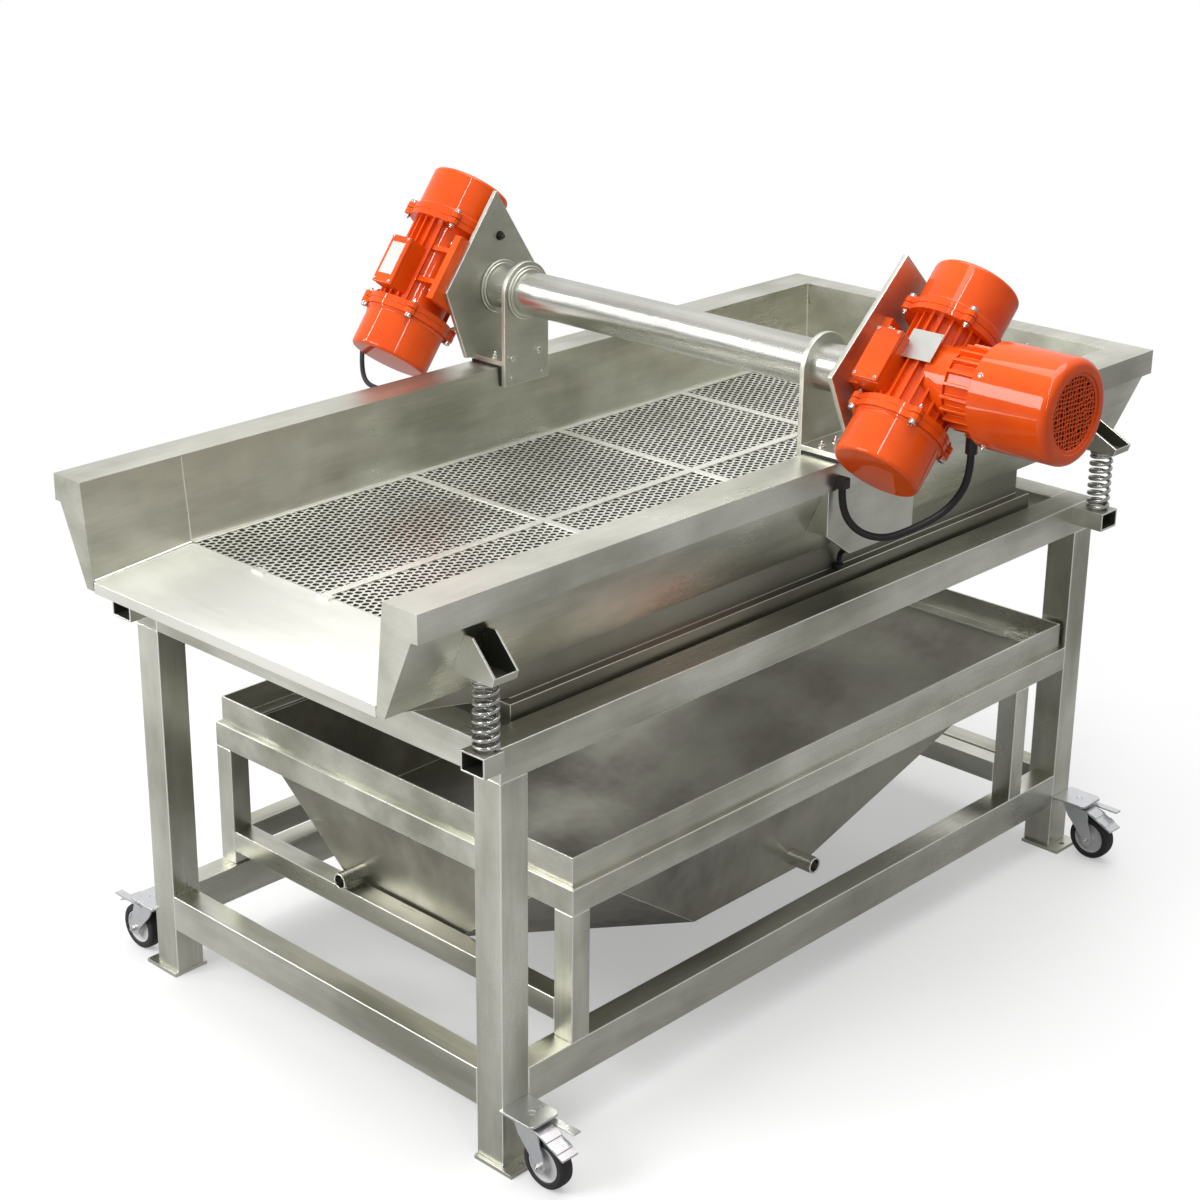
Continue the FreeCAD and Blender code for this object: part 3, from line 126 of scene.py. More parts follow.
class Nodes:
    """The nodes of one material or of the world."""

    def __init__(self, tree):
        self.tree = tree

    def node(self, kind, settings, inputs):
        made = self.tree.nodes.new("ShaderNode" + kind)
        for name, value in settings.items():
            if name == "stops":
                for stop, position in zip(made.color_ramp.elements, value):
                    stop.position = position
            else:
                setattr(made, name, value)
        for key, value in inputs.items():
            if isinstance(value, Level):
                value = value.socket
            if isinstance(value, bpy.types.NodeSocket):
                self.tree.links.new(value, made.inputs[key])
            else:
                made.inputs[key].default_value = value
        return made

    def level(self, made, output):
        return Level(self, made.outputs[output])


class Finish(Nodes):
    """A surface made of nodes round one Principled shader."""

    def __init__(self, name, **constants):
        self.material = bpy.data.materials.new(name)
        self.material.use_nodes = True
        super().__init__(self.material.node_tree)
        self.shader = self.tree.nodes["Principled BSDF"]
        for words, value in constants.items():
            self.shader.inputs[words.replace("_", " ")].default_value = value
        self.coords = self.node("TexCoord", {}, {}).outputs["Object"]

    def feed(self, name, value):
        """Links a level or a socket to an input of the shader."""
        socket = value.socket if isinstance(value, Level) else value
        self.tree.links.new(socket, self.shader.inputs[name])

    def grain(self, scale, stretch=(1, 1, 1), detail=3.0):
        """Noise between 0 and 1, stretched along the axes."""
        drawn = self.node("Mapping", {}, {"Vector": self.coords, "Scale": stretch})
        cloud = self.node("TexNoise", {}, {"Vector": drawn.outputs[0], "Scale": scale,
                                           "Detail": detail})
        return Level(self, cloud.outputs["Fac"])

    def between(self, level, low, high):
        """Stretches the middle of a noise to run from 0 to 1."""
        ramp = self.node("ValToRGB", {"stops": (low, high)}, {"Fac": level})
        return Level(self, ramp.outputs["Color"])

    def blend(self, level, first, second):
        """The first colour where the level is 0, the second where it is 1."""
        mix = self.node("Mix", {"data_type": "RGBA"},
                        {"Factor": level, 6: (*first, 1), 7: (*second, 1)})
        return mix.outputs[2]

    def relief(self, level, strength, distance):
        """Small bumps in the surface."""
        bump = self.node("Bump", {}, {"Height": level, "Strength": strength,
                                      "Distance": distance})
        self.feed("Normal", bump.outputs[0])


LIGHT_STEEL = (0.86, 0.86, 0.77)
DARK_STEEL = (0.31, 0.31, 0.25)


def sheet_steel(name, grain, light=LIGHT_STEEL, dark=DARK_STEEL, rough=0.19):
    """Satin stainless, brushed grain, a few rubbed streaks; clouds and smears in its colour are
    partly stains, partly painted reflections.
    """
    finish = Finish(name, Metallic=1.0)
    # Clouds and smears along the grain lighten and darken the colour: partly stains, partly painted
    # reflections.
    cloud = finish.between(finish.grain(4.0, detail=5.0), 0.38, 0.62)
    drawn = tuple(part ** 0.4 for part in grain)
    smear_and_painted_reflection = finish.between(finish.grain(2.6, drawn, 4.0), 0.38, 0.64)
    streak = finish.grain(6.0, grain, 4.0)
    stain_and_painted_reflection = cloud * 0.38 + smear_and_painted_reflection * 0.42 + streak * 0.2
    finish.feed("Base Color", finish.blend(stain_and_painted_reflection, light, dark))
    finish.feed("Roughness", rough + streak * 0.14 + cloud * 0.14)
    finish.relief(streak, 0.09, 0.0004)
    return finish.material


def enamel(name, colour, deep):
    """Glossy cast enamel with a light orange peel."""
    finish = Finish(name, Coat_Weight=0.7, Coat_Roughness=0.035, Roughness=0.5,
                    Specular_IOR_Level=0.06)
    patch = finish.between(finish.grain(9.0, detail=3.0), 0.4, 0.65)
    finish.feed("Base Color", finish.blend(patch, colour, deep))
    finish.relief(finish.grain(260.0, detail=2.0), 0.10, 0.0006)
    return finish.material


def rubber(name, colour, rough):
    """Dull rubber or plastic with a fine tooth."""
    finish = Finish(name, Specular_IOR_Level=0.35)
    tooth = finish.grain(420.0, detail=2.0)
    paler = tuple(1.8 * part for part in colour)
    finish.feed("Base Color", finish.blend(finish.grain(20.0), colour, paler))
    finish.feed("Roughness", rough + tooth * 0.15)
    finish.relief(tooth, 0.15, 0.0004)
    return finish.material


def plated(name, light, dark, rough):
    """Bright plating with a slight mottle."""
    finish = Finish(name, Metallic=1.0)
    mottle = finish.grain(70.0, detail=4.0)
    finish.feed("Base Color", finish.blend(mottle, light, dark))
    finish.feed("Roughness", rough + mottle * 0.15)
    finish.relief(mottle, 0.08, 0.0005)
    return finish.material


SHEET = sheet_steel("sheet_along_length", (18, 1.5, 60))
DECK = sheet_steel("screen_sheet", (20, 20, 20), (0.88, 0.88, 0.82), (0.70, 0.70, 0.63), 0.34)
# Near-black walls for holes and bores: painted shade in the recesses.
HOLE_SHADE = sheet_steel("hole_wall_painted_shade", (20, 20, 20), (0.16, 0.16, 0.13), (0.10, 0.10, 0.08), 0.45)
# A paler copy of the sheet for the apron: painted light on its sloping face.
APRON_LIT = sheet_steel("apron_painted_light", (1.5, 18, 60), (0.96, 0.96, 0.92), (0.66, 0.66, 0.60), 0.36)
UPRIGHT = sheet_steel("tube_upright", (60, 60, 1.5))
CROSSWISE = sheet_steel("tube_crosswise", (1.5, 60, 60))
LENGTHWISE = sheet_steel("tube_lengthwise", (60, 1.5, 60))
# A dark copy of the sheet for the catch box under the screen: painted shade.
SKIRT_SHADE = sheet_steel("skirt_sheet_painted_shade", (18, 1.5, 60), (0.40, 0.39, 0.33), (0.24, 0.23, 0.19), 0.30)
# A dark copy of the sheet for the hopper: partly stained sheet, partly painted shade on its inside
# and outer sides.
HOPPER_STAIN_AND_SHADE = sheet_steel("hopper_sheet_stain_and_shade", (8, 8, 8), (0.44, 0.43, 0.37), (0.15, 0.14, 0.12), 0.24)
# The long light and dark bands along the polished tube are painted reflections.
POLISHED = sheet_steel("polished_tube", (0.6, 90, 90), (0.74, 0.74, 0.69), (0.30, 0.30, 0.26), 0.13)
PLATE = sheet_steel("cut_plate", (30, 4, 30), (0.78, 0.78, 0.71), (0.40, 0.40, 0.34), 0.26)
# Near-white plating on eased edges and weld beads: a painted highlight.
EDGE_HIGHLIGHT = plated("edge_painted_highlight", (1.0, 1.0, 0.95), (0.82, 0.82, 0.76), 0.22)
ZINC = plated("zinc_plate", (0.78, 0.79, 0.80), (0.62, 0.63, 0.65), 0.22)
CHROME = plated("spring_wire", (0.60, 0.60, 0.58), (0.42, 0.42, 0.40), 0.13)
BOLT = plated("bolt_steel", (0.80, 0.79, 0.76), (0.60, 0.59, 0.56), 0.16)
BLACKENED = plated("blackened_bolt", (0.10, 0.10, 0.095), (0.05, 0.05, 0.047), 0.30)
ORANGE = enamel("orange_enamel", (0.76, 0.086, 0.004), (0.66, 0.064, 0.003))
# A lighter orange for the motors' eased edges: a painted highlight.
ORANGE_EDGE_HIGHLIGHT = enamel("enamel_edge_painted_highlight", (0.88, 0.17, 0.03), (0.80, 0.11, 0.012))
BLACK = rubber("black_rubber", (0.012, 0.012, 0.012), 0.42)
PLASTIC = rubber("black_plastic", (0.018, 0.018, 0.018), 0.34)
TYRE = rubber("tyre_tread", (0.02, 0.02, 0.021), 0.55)
HUB = rubber("grey_hub", (0.42, 0.42, 0.42), 0.40)
# Near-black for the inside of the fan cowl: painted shade.
COWL_SHADE = rubber("cowl_inside_painted_shade", (0.020, 0.006, 0.003), 0.7)
BLANK = plated("blank_plate", (0.70, 0.70, 0.67), (0.58, 0.58, 0.55), 0.30)


# Shaping

MERGE = 0.00002
DEGENERATE = 0.00001
FLAT_ANGLE = math.radians(0.5)
SHARP_ANGLE = math.radians(32)
INWARD = 0.002


def settle(piece_name, bm, finishes, body, smooth=35):
    """Merges and closes a mesh and makes it a piece that rides on a body."""
    bmesh.ops.remove_doubles(bm, verts=bm.verts, dist=MERGE)
    bmesh.ops.recalc_face_normals(bm, faces=bm.faces)
    return hand_over(piece_name, bm, finishes, body, smooth)


def hand_over(piece_name, bm, finishes, body, smooth=35):
    """Makes a mesh a piece, smooth across edges of fewer degrees than given."""
    mesh = bpy.data.meshes.new(piece_name)
    bm.to_mesh(mesh)
    bm.free()
    for polygon in mesh.polygons:
        polygon.use_smooth = True
    mesh.set_sharp_from_angle(angle=math.radians(smooth))
    for finish in finishes:
        mesh.materials.append(finish)
    piece = bpy.data.objects.new(piece_name, mesh)
    bpy.context.scene.collection.objects.link(piece)
    flat = piece.modifiers.new("flat_faces_stay_flat", "WEIGHTED_NORMAL")
    flat.keep_sharp = True
    if body:
        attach(piece, body)
    return piece


def edges_of(verts):
    """The edges that meet the points, each once and in order."""
    return list(dict.fromkeys(edge for vert in verts for edge in vert.link_edges))


def verts_in(geometry):
    """The points in what an operator returned."""
    return [item for item in geometry if isinstance(item, bmesh.types.BMVert)]


def everything(bm):
    """All points, edges and faces of a mesh."""
    return list(bm.verts) + list(bm.edges) + list(bm.faces)


def joined(seeds):
    """All points that edges join to the seed points."""
    seen = {vert for vert in seeds if vert.is_valid}
    front = list(seen)
    while front:
        near = {edge.other_vert(vert) for vert in front for edge in vert.link_edges} - seen
        seen |= near
        front = list(near)
    return seen


def placed(bm, seeds, place, material=0):
    """Moves everything joined to the seed points and gives it a finish."""
    verts = joined(seeds)
    bmesh.ops.transform(bm, matrix=place, verts=list(verts))
    for vert in verts:
        for face in vert.link_faces:
            face.material_index = material


def eased(bm, edges, width, segments=2, clamp=False):
    """Rounds edges off; a clamped width stops where two of them would meet."""
    return bmesh.ops.bevel(bm, geom=edges, offset=width, offset_type="OFFSET",
                           segments=segments, profile=0.5, affect="EDGES", material=-1,
                           clamp_overlap=clamp)


def line_inside(bm, material):
    """Gives the faces that look towards the middle of their own lump another finish."""
    left = set(bm.verts)
    while left:
        lump = joined([next(iter(left))])
        left -= lump
        middle = sum((vert.co for vert in lump), Vector()) / len(lump)
        for face in {face for vert in lump for face in vert.link_faces}:
            if face.normal.dot(middle - face.calc_center_median()) > INWARD:
                face.material_index = material


def dressed(node, finish, width, segments=2, edge=None, inside=None):
    """The node's own form with its edges eased and given the near-white edge finish, a painted
    highlight, in place of the plain solid.
    """
    bm = bmesh.new()
    bm.from_mesh(NODES[node].data)
    bmesh.ops.remove_doubles(bm, verts=bm.verts, dist=MERGE)
    bmesh.ops.dissolve_limit(bm, angle_limit=FLAT_ANGLE, verts=bm.verts, edges=bm.edges)
    sharp = [corner for corner in bm.edges if len(corner.link_faces) == 2
             and corner.calc_face_angle(0) > SHARP_ANGLE]
    for face in eased(bm, sharp, width, segments, clamp=True)["faces"]:
        face.material_index = 1
    bmesh.ops.dissolve_degenerate(bm, dist=DEGENERATE, edges=bm.edges)
    # Faces turned inward take the third finish; the callers give the near-black hole finish,
    # painted shade in the bores.
    if inside:
        line_inside(bm, 2)
    finishes = [finish, edge or EDGE_HIGHLIGHT, inside or finish]
    piece = hand_over(node + "_eased", bm, finishes, BODY_OF[node])
    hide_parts(node)


def facing(origin, axis, spin=0.0):
    """A place whose Z axis points along axis, turned round it by spin degrees."""
    turn = Vector(axis).to_track_quat("Z", "Y").to_matrix().to_4x4()
    return Matrix.Translation(origin) @ turn @ Matrix.Rotation(math.radians(spin), 4, "Z")


def turned(bm, profile, place, steps, material=0):
    """A closed turned shape from (radius, height) points round the place's Z axis."""
    verts = [bm.verts.new((radius, 0, height)) for radius, height in profile]
    edges = [bm.edges.new(pair) for pair in zip(verts, verts[1:])]
    bmesh.ops.spin(bm, geom=verts + edges, cent=(0, 0, 0), axis=(0, 0, 1),
                   angle=2 * math.pi, steps=steps, use_merge=True)
    placed(bm, verts, place, material)


def block(bm, low, high, ease, place=Matrix.Identity(4)):
    """A box between two corners with eased edges."""
    low = Vector(low)
    high = Vector(high)
    middle = Matrix.Translation((low + high) / 2) @ Matrix.Diagonal((*(high - low), 1))
    made = bmesh.ops.create_cube(bm, size=1, matrix=middle)
    placed(bm, eased(bm, edges_of(made["verts"]), ease)["verts"], place)


def hex_bolt(bm, place, size, material=0, washer=True):
    """Washer, hexagon head and the end of the screw; size is the washer's radius."""
    if washer:
        turned(bm, [(0, 0), (size, 0), (size, size * 0.16), (0, size * 0.16)], place, 20,
               material)
    head = bmesh.ops.create_cone(bm, cap_ends=True, segments=6, radius1=size * 0.82,
                                 radius2=size * 0.82, depth=size * 0.62)
    head = eased(bm, edges_of(head["verts"]), size * 0.08)
    placed(bm, head["verts"], place @ Matrix.Translation((0, 0, size * 0.46)), material)
    turned(bm, [(0, size * 0.7), (size * 0.42, size * 0.7), (size * 0.42, size * 1.15),
                (size * 0.34, size * 1.3), (0, size * 1.3)], place, 16, material)


def socket_screw(bm, place, size):
    """Round cap head with a recess; size is its radius."""
    turned(bm, [(0, size * 0.5), (size * 0.45, size * 0.5), (size * 0.45, size),
                (size * 0.85, size), (size, size * 0.85), (size, 0), (0, 0)], place, 18)


# Studio

ROOM_GLOW = 0.17
GLOSSY_SHARE = 0.12
FLOOR_BOUNCE = 0.30
LAMPS = (
    # name, place, target, (width, height), watts
    ("key", (-1.2, -3.8, 2.6), (0, -0.2, 0.6), (2.4, 1.8), 130),
    ("top", (0.2, 0.4, 4.0), (0, 0, 0.6), (2.6, 2.6), 85),
    ("strip_left", (-3.2, -2.4, 2.4), (0, 0, 0.9), (0.09, 2.4), 26),
    ("strip_right", (3.4, -2.0, 2.6), (0.4, 0, 0.9), (0.08, 2.0), 17),
    ("strip_high", (1.4, -1.4, 3.4), (0.3, 0, 0.9), (0.08, 1.6), 11),
)


def set_camera():
    """The photo's camera, as fitted to the corners and edges of the frame."""
    data = bpy.data.cameras.new("photo_camera")
    data.sensor_width = 36
    data.lens = 70.52
    data.shift_x = 0.0508
    data.shift_y = -0.0293
    camera = bpy.data.objects.new("photo_camera", data)
    camera.location = (2.3253, -2.5663, 1.9092)
    camera.rotation_euler = (math.radians(69.197), 0, math.radians(44.812))
    bpy.context.scene.collection.objects.link(camera)
    bpy.context.scene.camera = camera


def set_lamps():
    """A broad key and top light, and narrow strips for the streaks along round forms."""
    for name, place, target, size, power in LAMPS:
        light = bpy.data.lights.new(name, "AREA")
        light.shape = "RECTANGLE"
        light.size, light.size_y = size
        light.energy = power
        holder = bpy.data.objects.new(name, light)
        holder.location = place
        aim = Vector(target) - Vector(place)
        holder.rotation_euler = aim.to_track_quat("-Z", "Y").to_euler()
        bpy.context.scene.collection.objects.link(holder)


def set_world():
    """White to the camera; to metal a pale room, brightest overhead and behind on the left."""
    world = bpy.data.worlds.new("studio")
    world.use_nodes = True
    bpy.context.scene.world = world
    room = Nodes(world.node_tree)
    coords = room.node("TexCoord", {}, {}).outputs["Generated"]
    apart = room.node("SeparateXYZ", {}, {0: coords})
    overhead = room.level(apart, "Z").held()
    behind = (room.level(apart, "Y") * 0.7 - room.level(apart, "X") * 0.7).held()
    glow = ROOM_GLOW + overhead * 0.5 + behind * 0.6
    path = room.node("LightPath", {}, {})
    straight = room.level(path, "Is Camera Ray") + room.level(path, "Is Transmission Ray")
    share = straight + room.level(path, "Is Glossy Ray") * GLOSSY_SHARE
    shown = glow + share * (1 - glow)
    room.tree.links.new(shown.socket, world.node_tree.nodes["Background"].inputs[0])


def set_floor():
    """Pale floor that keeps the shadow under the machine and turns white further out."""
    bm = bmesh.new()
    bmesh.ops.create_grid(bm, x_segments=1, y_segments=1, size=12)
    finish = Finish("pale_floor", Roughness=0.85)
    path = finish.node("LightPath", {}, {})
    seen = finish.level(path, "Is Camera Ray")
    apart = finish.node("SeparateXYZ", {}, {0: finish.coords})
    ahead = (finish.level(apart, "X") + finish.level(apart, "Y")) * -0.28
    glossy = finish.level(path, "Is Glossy Ray") * (GLOSSY_SHARE + ahead.held() * 0.6)
    finish.feed("Base Color", finish.blend(seen, (FLOOR_BOUNCE,) * 3, (0.9, 0.9, 0.9)))
    floor = hand_over("studio_floor", bm, [finish.material], None)
    spread = finish.node("VectorMath", {"operation": "LENGTH"}, {0: finish.coords})
    far = ((finish.level(spread, "Value") - 0.9) * 0.9).held()
    white = seen * (0.35 + far * 0.65) + glossy + finish.level(path, "Is Transmission Ray")
    glow = finish.node("Emission", {}, {"Strength": 1.0})
    mix = finish.node("MixShader", {}, {0: white.held(), 1: finish.shader.outputs[0],
                                        2: glow.outputs[0]})
    finish.tree.links.new(mix.outputs[0], finish.tree.nodes["Material Output"].inputs[0])


# Frame and hopper

def dress_frame():
    for node in ("legs", "hopper_legs"):
        dressed(node, UPRIGHT, 0.0022)
    for node in ("cross_rails", "hopper_cross_bars"):
        dressed(node, CROSSWISE, 0.0022)
    for node in ("side_rails", "hopper_side_bar", "hopper_ring"):
        dressed(node, LENGTHWISE, 0.002)
    dressed("foot_plates", PLATE, 0.001)
    dressed("spring_seats", PLATE, 0.001, inside=HOLE_SHADE)
    dressed("hopper_rim", SHEET, 0.0008)
    dressed("hopper_shell", HOPPER_STAIN_AND_SHADE, 0.0012)
    dressed("drain_spigots", POLISHED, 0.0008)


# Trough

SCREEN_COLUMNS = 46
SCREEN_ROWS = 128
SCREEN_STRIPS = 4
SCREEN_THICK = 0.003
SCREEN_RIM = 0.0005
HOLE_RADIUS = 0.0051
HOLE_JITTER = 0.0016
HOLE_JITTER_SCALE = 90
TILE_MERGE = 0.00005


def perforated_strip(piece_name, x, y, rows, pitch):
    """A stretch of screen with staggered holes, slightly uneven, from one repeated tile."""
    low = Vector((x + SCREEN_RIM, y + SCREEN_RIM, 0))
    high = Vector((x + (SCREEN_COLUMNS + 0.5) * pitch[0] - SCREEN_RIM,
                   y + rows * pitch[1] - SCREEN_RIM, 0))
    bm = bmesh.new()
    outer = bmesh.ops.create_grid(bm, x_segments=2, y_segments=2, size=0.5,
                                  matrix=Matrix.Diagonal((pitch[0], pitch[1], 1, 1)))
    middle = min(outer["verts"], key=lambda vert: vert.co.length)
    bmesh.ops.delete(bm, geom=[middle], context="VERTS")
    rim = list(bm.edges)
    hole = bmesh.ops.create_circle(bm, segments=8, radius=HOLE_RADIUS)
    loop = edges_of(hole["verts"])
    bmesh.ops.bridge_loops(bm, edges=rim + loop)
    wall = bmesh.ops.extrude_edge_only(bm, edges=loop)["geom"]
    for item in wall:
        if isinstance(item, bmesh.types.BMFace):
            item.material_index = 1
    bmesh.ops.translate(bm, verts=verts_in(wall), vec=(0, 0, -SCREEN_THICK))
    bmesh.ops.translate(bm, verts=bm.verts, vec=(x + pitch[0] / 2, y + pitch[1] / 2, DECK_TOP))
    repeat(bm, SCREEN_COLUMNS, (pitch[0], 0, 0))
    second = bmesh.ops.duplicate(bm, geom=everything(bm))
    bmesh.ops.translate(bm, verts=verts_in(second["geom"]), vec=(pitch[0] / 2, pitch[1], 0))
    repeat(bm, rows // 2, (0, 2 * pitch[1], 0))
    bmesh.ops.remove_doubles(bm, verts=bm.verts, dist=TILE_MERGE)
    for vert in bm.verts:
        spot = Vector((vert.co.x * HOLE_JITTER_SCALE, vert.co.y * HOLE_JITTER_SCALE, 0))
        shove = noise.noise_vector(spot)
        if low.x < vert.co.x < high.x and low.y < vert.co.y < high.y:
            vert.co += Vector((shove.x, shove.y, 0)) * HOLE_JITTER
    # The hole walls take the near-black second finish, painted shade.
    piece = hand_over(piece_name, bm, [DECK, HOLE_SHADE], "trough", 60)
    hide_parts("screen_deck")


def repeat(bm, count, step):
    """Lays copies of the whole mesh side by side."""
    pattern = everything(bm)
    for number in range(1, count):
        copy = bmesh.ops.duplicate(bm, geom=pattern)
        bmesh.ops.translate(bm, verts=verts_in(copy["geom"]), vec=Vector(step) * number)


def dress_screen():
    low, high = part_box("screen_deck")
    pitch = ((high.x - low.x) / (SCREEN_COLUMNS + 0.5), (high.y - low.y) / SCREEN_ROWS)
    for number in range(SCREEN_STRIPS):
        start = low.y + number * SCREEN_ROWS / SCREEN_STRIPS * pitch[1]
        perforated_strip("perforated_screen_%d" % number, low.x, start,
                         SCREEN_ROWS // SCREEN_STRIPS, pitch)
    dressed("screen_bars", DECK, 0.0007)


def dress_trough():
    for node in ("trough_sides", "trough_end"):
        dressed(node, SHEET, 0.0034, 3)
    dressed("apron", APRON_LIT, 0.0008)
    dressed("catch_box", SKIRT_SHADE, 0.001)
    for node in ("arch_brackets", "motor_plates", "gussets"):
        dressed(node, PLATE, 0.001)
    dressed("spring_brackets", PLATE, 0.0008, inside=HOLE_SHADE)
    seams()
    screen_tabs()
    corner_slips()
    tube_rings()
    arch_bolts()
    dressed("cross_tube", POLISHED, 0.0005)
    dressed("rubber_pads", BLACK, 0.0008, edge=BLACK)


def bead(bm, start, end, radius):
    """A thin ground weld along a straight joint."""
    start = Vector(start)
    run = Vector(end) - start
    turned(bm, [(0, 0), (radius * 0.7, 0.0004), (radius, 0.002), (radius, run.length - 0.002),
                (radius * 0.7, run.length - 0.0004), (0, run.length)], facing(start, run), 10)


def seams():
    """Welds up the walls where the apron starts, along their feet, in the corners, on the apron."""
    bm = bmesh.new()
    for _, across in SIDES:
        front = (WALL_FOOT * across, APRON_START, DECK_TOP)
        rear = (WALL_FOOT * across, END_WALL_FOOT, DECK_TOP)
        bead(bm, front, (WALL_HEAD * across, APRON_START, WALL_TOP), 0.0011)
        bead(bm, front, rear, 0.0022)
        bead(bm, rear, (WALL_HEAD * across, END_WALL_HEAD, WALL_TOP), 0.0015)
        bead(bm, front, (APRON_LIP.x * across, APRON_LIP.y, APRON_LIP.z), 0.0020)
    # The beads take the near-white edge finish, a painted highlight.
    settle("ground_welds", bm, [EDGE_HIGHLIGHT], "trough")


def screen_tabs():
    """Two tabs that hold the screen where the apron starts."""
    bm = bmesh.new()
    for x in (-0.139, 0.004):
        block(bm, (x - 0.012, -0.651, 0.7175), (x + 0.012, -0.637, 0.7242), 0.0006)
    settle("screen_tabs", bm, [DECK], "trough")


def corner_slips():
    """Slips of sheet that close the joint of the side walls and the end wall below the flange."""
    bm = bmesh.new()
    for _, across in SIDES:
        corner = Matrix.Translation((WALL_FOOT * across, END_WALL_FOOT, DECK_TOP))
        lean = Matrix(((1, 0, WALL_LEAN * across, 0), (0, 1, WALL_LEAN, 0), (0, 0, 1, 0),
                       (0, 0, 0, 1)))
        inner, outer = sorted((-0.0140 * across, 0.0012 * across))
        block(bm, (inner, 0.0002, -0.020), (outer, 0.0025, 0.093), 0.0003, corner @ lean)
    settle("corner_slips", bm, [SHEET], "trough")


def tube_rings():
    """Rounded rings welded round the cross tube at each arch bracket and motor plate."""
    bore = TUBE_R - 0.001
    section = [(bore, 0), (0.0425, 0), (0.0440, 0.0012), (0.0440, 0.0030), (0.0425, 0.0044),
               (0.0395, 0.0046), (0.0385, 0.0062), (0.0365, 0.0070), (bore, 0.0070), (bore, 0)]
    bm = bmesh.new()
    for _, across in SIDES:
        for x in (ARCH_FACE, PLATE_FACE):
            turned(bm, section, facing((x * across, TUBE_Y, TUBE_Z), (-across, 0, 0)), 48)
    piece = settle("tube_rings", bm, [PLATE], "trough")
    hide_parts("tube_collars")


def arch_bolts():
    """Screws of the arch brackets, bolts of their foot plates, one bolt of the left plate."""
    for side, across in SIDES:
        bm = bmesh.new()
        inward = (-across, 0, 0)
        for y, z, size in ((0.014, 0.868, 0.0050), (0.074, 0.872, 0.0056),
                           (0.014, 0.836, 0.0028), (0.082, 0.834, 0.0028)):
            socket_screw(bm, facing((ARCH_FACE * across, y, z), inward), size)
        for y in (0.014, 0.046, 0.086):
            hex_bolt(bm, facing((0.338 * across, y, 0.864), (0, 0, 1), 10), 0.0072)
        if side == "left":
            hex_bolt(bm, facing((PLATE_FACE * across, TUBE_Y, 1.055), inward, 15), 0.0078,
                     material=1)
        settle("arch_bolts_" + side, bm, [BOLT, BLACKENED], "trough")


# Springs

WIRE_RADIUS = 0.0030
COIL_RADIUS = 0.0160
COIL_STEPS = 20
OPEN_TURNS = 7.0


def coil(bm, place, height):
    """Round wire wound from a flat end turn through the open turns to the other flat end."""
    middle = Matrix.Translation((COIL_RADIUS, 0, WIRE_RADIUS))
    section = bmesh.ops.create_circle(bm, segments=10, radius=WIRE_RADIUS,
                                      matrix=middle @ Matrix.Rotation(math.radians(90), 4, "X"))
    ring = edges_of(section["verts"])
    bmesh.ops.contextual_create(bm, geom=ring)
    rise = height - 4 * WIRE_RADIUS
    for turns, climb in ((1.0, WIRE_RADIUS), (OPEN_TURNS, rise), (1.0, WIRE_RADIUS)):
        count = int(COIL_STEPS * turns)
        spun = bmesh.ops.spin(bm, geom=ring, cent=(0, 0, 0), axis=(0, 0, 1),
                              dvec=(0, 0, climb / count), angle=2 * math.pi * turns,
                              steps=count)
        ring = [item for item in spun["geom_last"] if isinstance(item, bmesh.types.BMEdge)]
    bmesh.ops.contextual_create(bm, geom=ring)
    placed(bm, section["verts"], place)


def dress_springs():
    """A wound coil at each spring place, standing from the foot to the head of the plain springs.
    """
    low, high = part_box("springs")
    bm = bmesh.new()
    for x, y in SPRINGS:
        coil(bm, Matrix.Translation((x, y, low.z)), high.z - low.z)
    piece = settle("coil_springs", bm, [CHROME], None, 50)
    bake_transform(piece)
    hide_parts("springs")


# Motors

LUG_REACH = 0.0735
LUG_FRONT = 0.0910
LUG_BACK = 0.0722
FOOT_NUTS = 0.042
FOOT_FACE = 0.0672
LID_FACE = -0.0868
NET_CELL = 0.0066
NET_REACH = 0.0535
NET_JITTER = 0.0040
NET_JITTER_SCALE = 700
NET_WIRE = 0.00075
NET_THICK = 0.0018


def dress_motors():
    # The motors' eased edges take the lighter orange, a painted highlight.
    for node in ("motor_bodies", "drive_body"):
        dressed(node, ORANGE, 0.0006, edge=ORANGE_EDGE_HIGHLIGHT)
    dressed("cable_glands", PLASTIC, 0.0008, edge=PLASTIC)
    motor_covers()
    terminal_boxes()
    cowl()
    grille()
    for side, across in SIDES:
        motor_bolts(side, across)
    blank_plates()


def motor_covers():
    """Round covers with a soft rim and a lip where they meet the flange."""
    profile = [(0, 0.0905), (0.0675, 0.0905), (0.0685, 0.0915), (0.0685, 0.0945),
               (0.0670, 0.0958), (0.0660, 0.0975), (0.0658, 0.1550), (0.0650, 0.1580),
               (0.0632, 0.1600), (0.0605, 0.1610), (0, 0.1610)]
    bm = bmesh.new()
    for side, _ in SIDES:
        for end in (1, -1):
            turned(bm, profile, MOTOR_PLACES[side] @ facing((0, 0, 0), (0, 0, end)), 64)
    piece = settle("motor_covers", bm, [ORANGE], "trough")
    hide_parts("motor_caps")


def terminal_boxes():
    """Cable boxes with a parted lid and its screws."""
    parts = ((-0.0796, -0.046, 0, 0.002), (-0.0806, -0.079, 0.0015, 0.0003),
             (-0.0870, -0.0804, 0, 0.002))
    bm = bmesh.new()
    screws = bmesh.new()
    for side, middle in (("left", -0.002), ("right", -0.033)):
        place = MOTOR_PLACES[side]
        for low, high, inset, ease in parts:
            block(bm, (middle - 0.022 + inset, low, -0.062 + inset),
                  (middle + 0.022 - inset, high, 0.022 - inset), ease, place)
        for x in (-0.0175, 0.0175):
            for z in (-0.0575, 0.0175):
                spot = facing((middle + x, LID_FACE, z), (0, -1, 0))
                socket_screw(screws, place @ spot, 0.0026)
    piece = settle("cable_boxes", bm, [ORANGE], "trough")
    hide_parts("terminal_boxes")
    settle("lid_screws", screws, [BOLT], "trough")


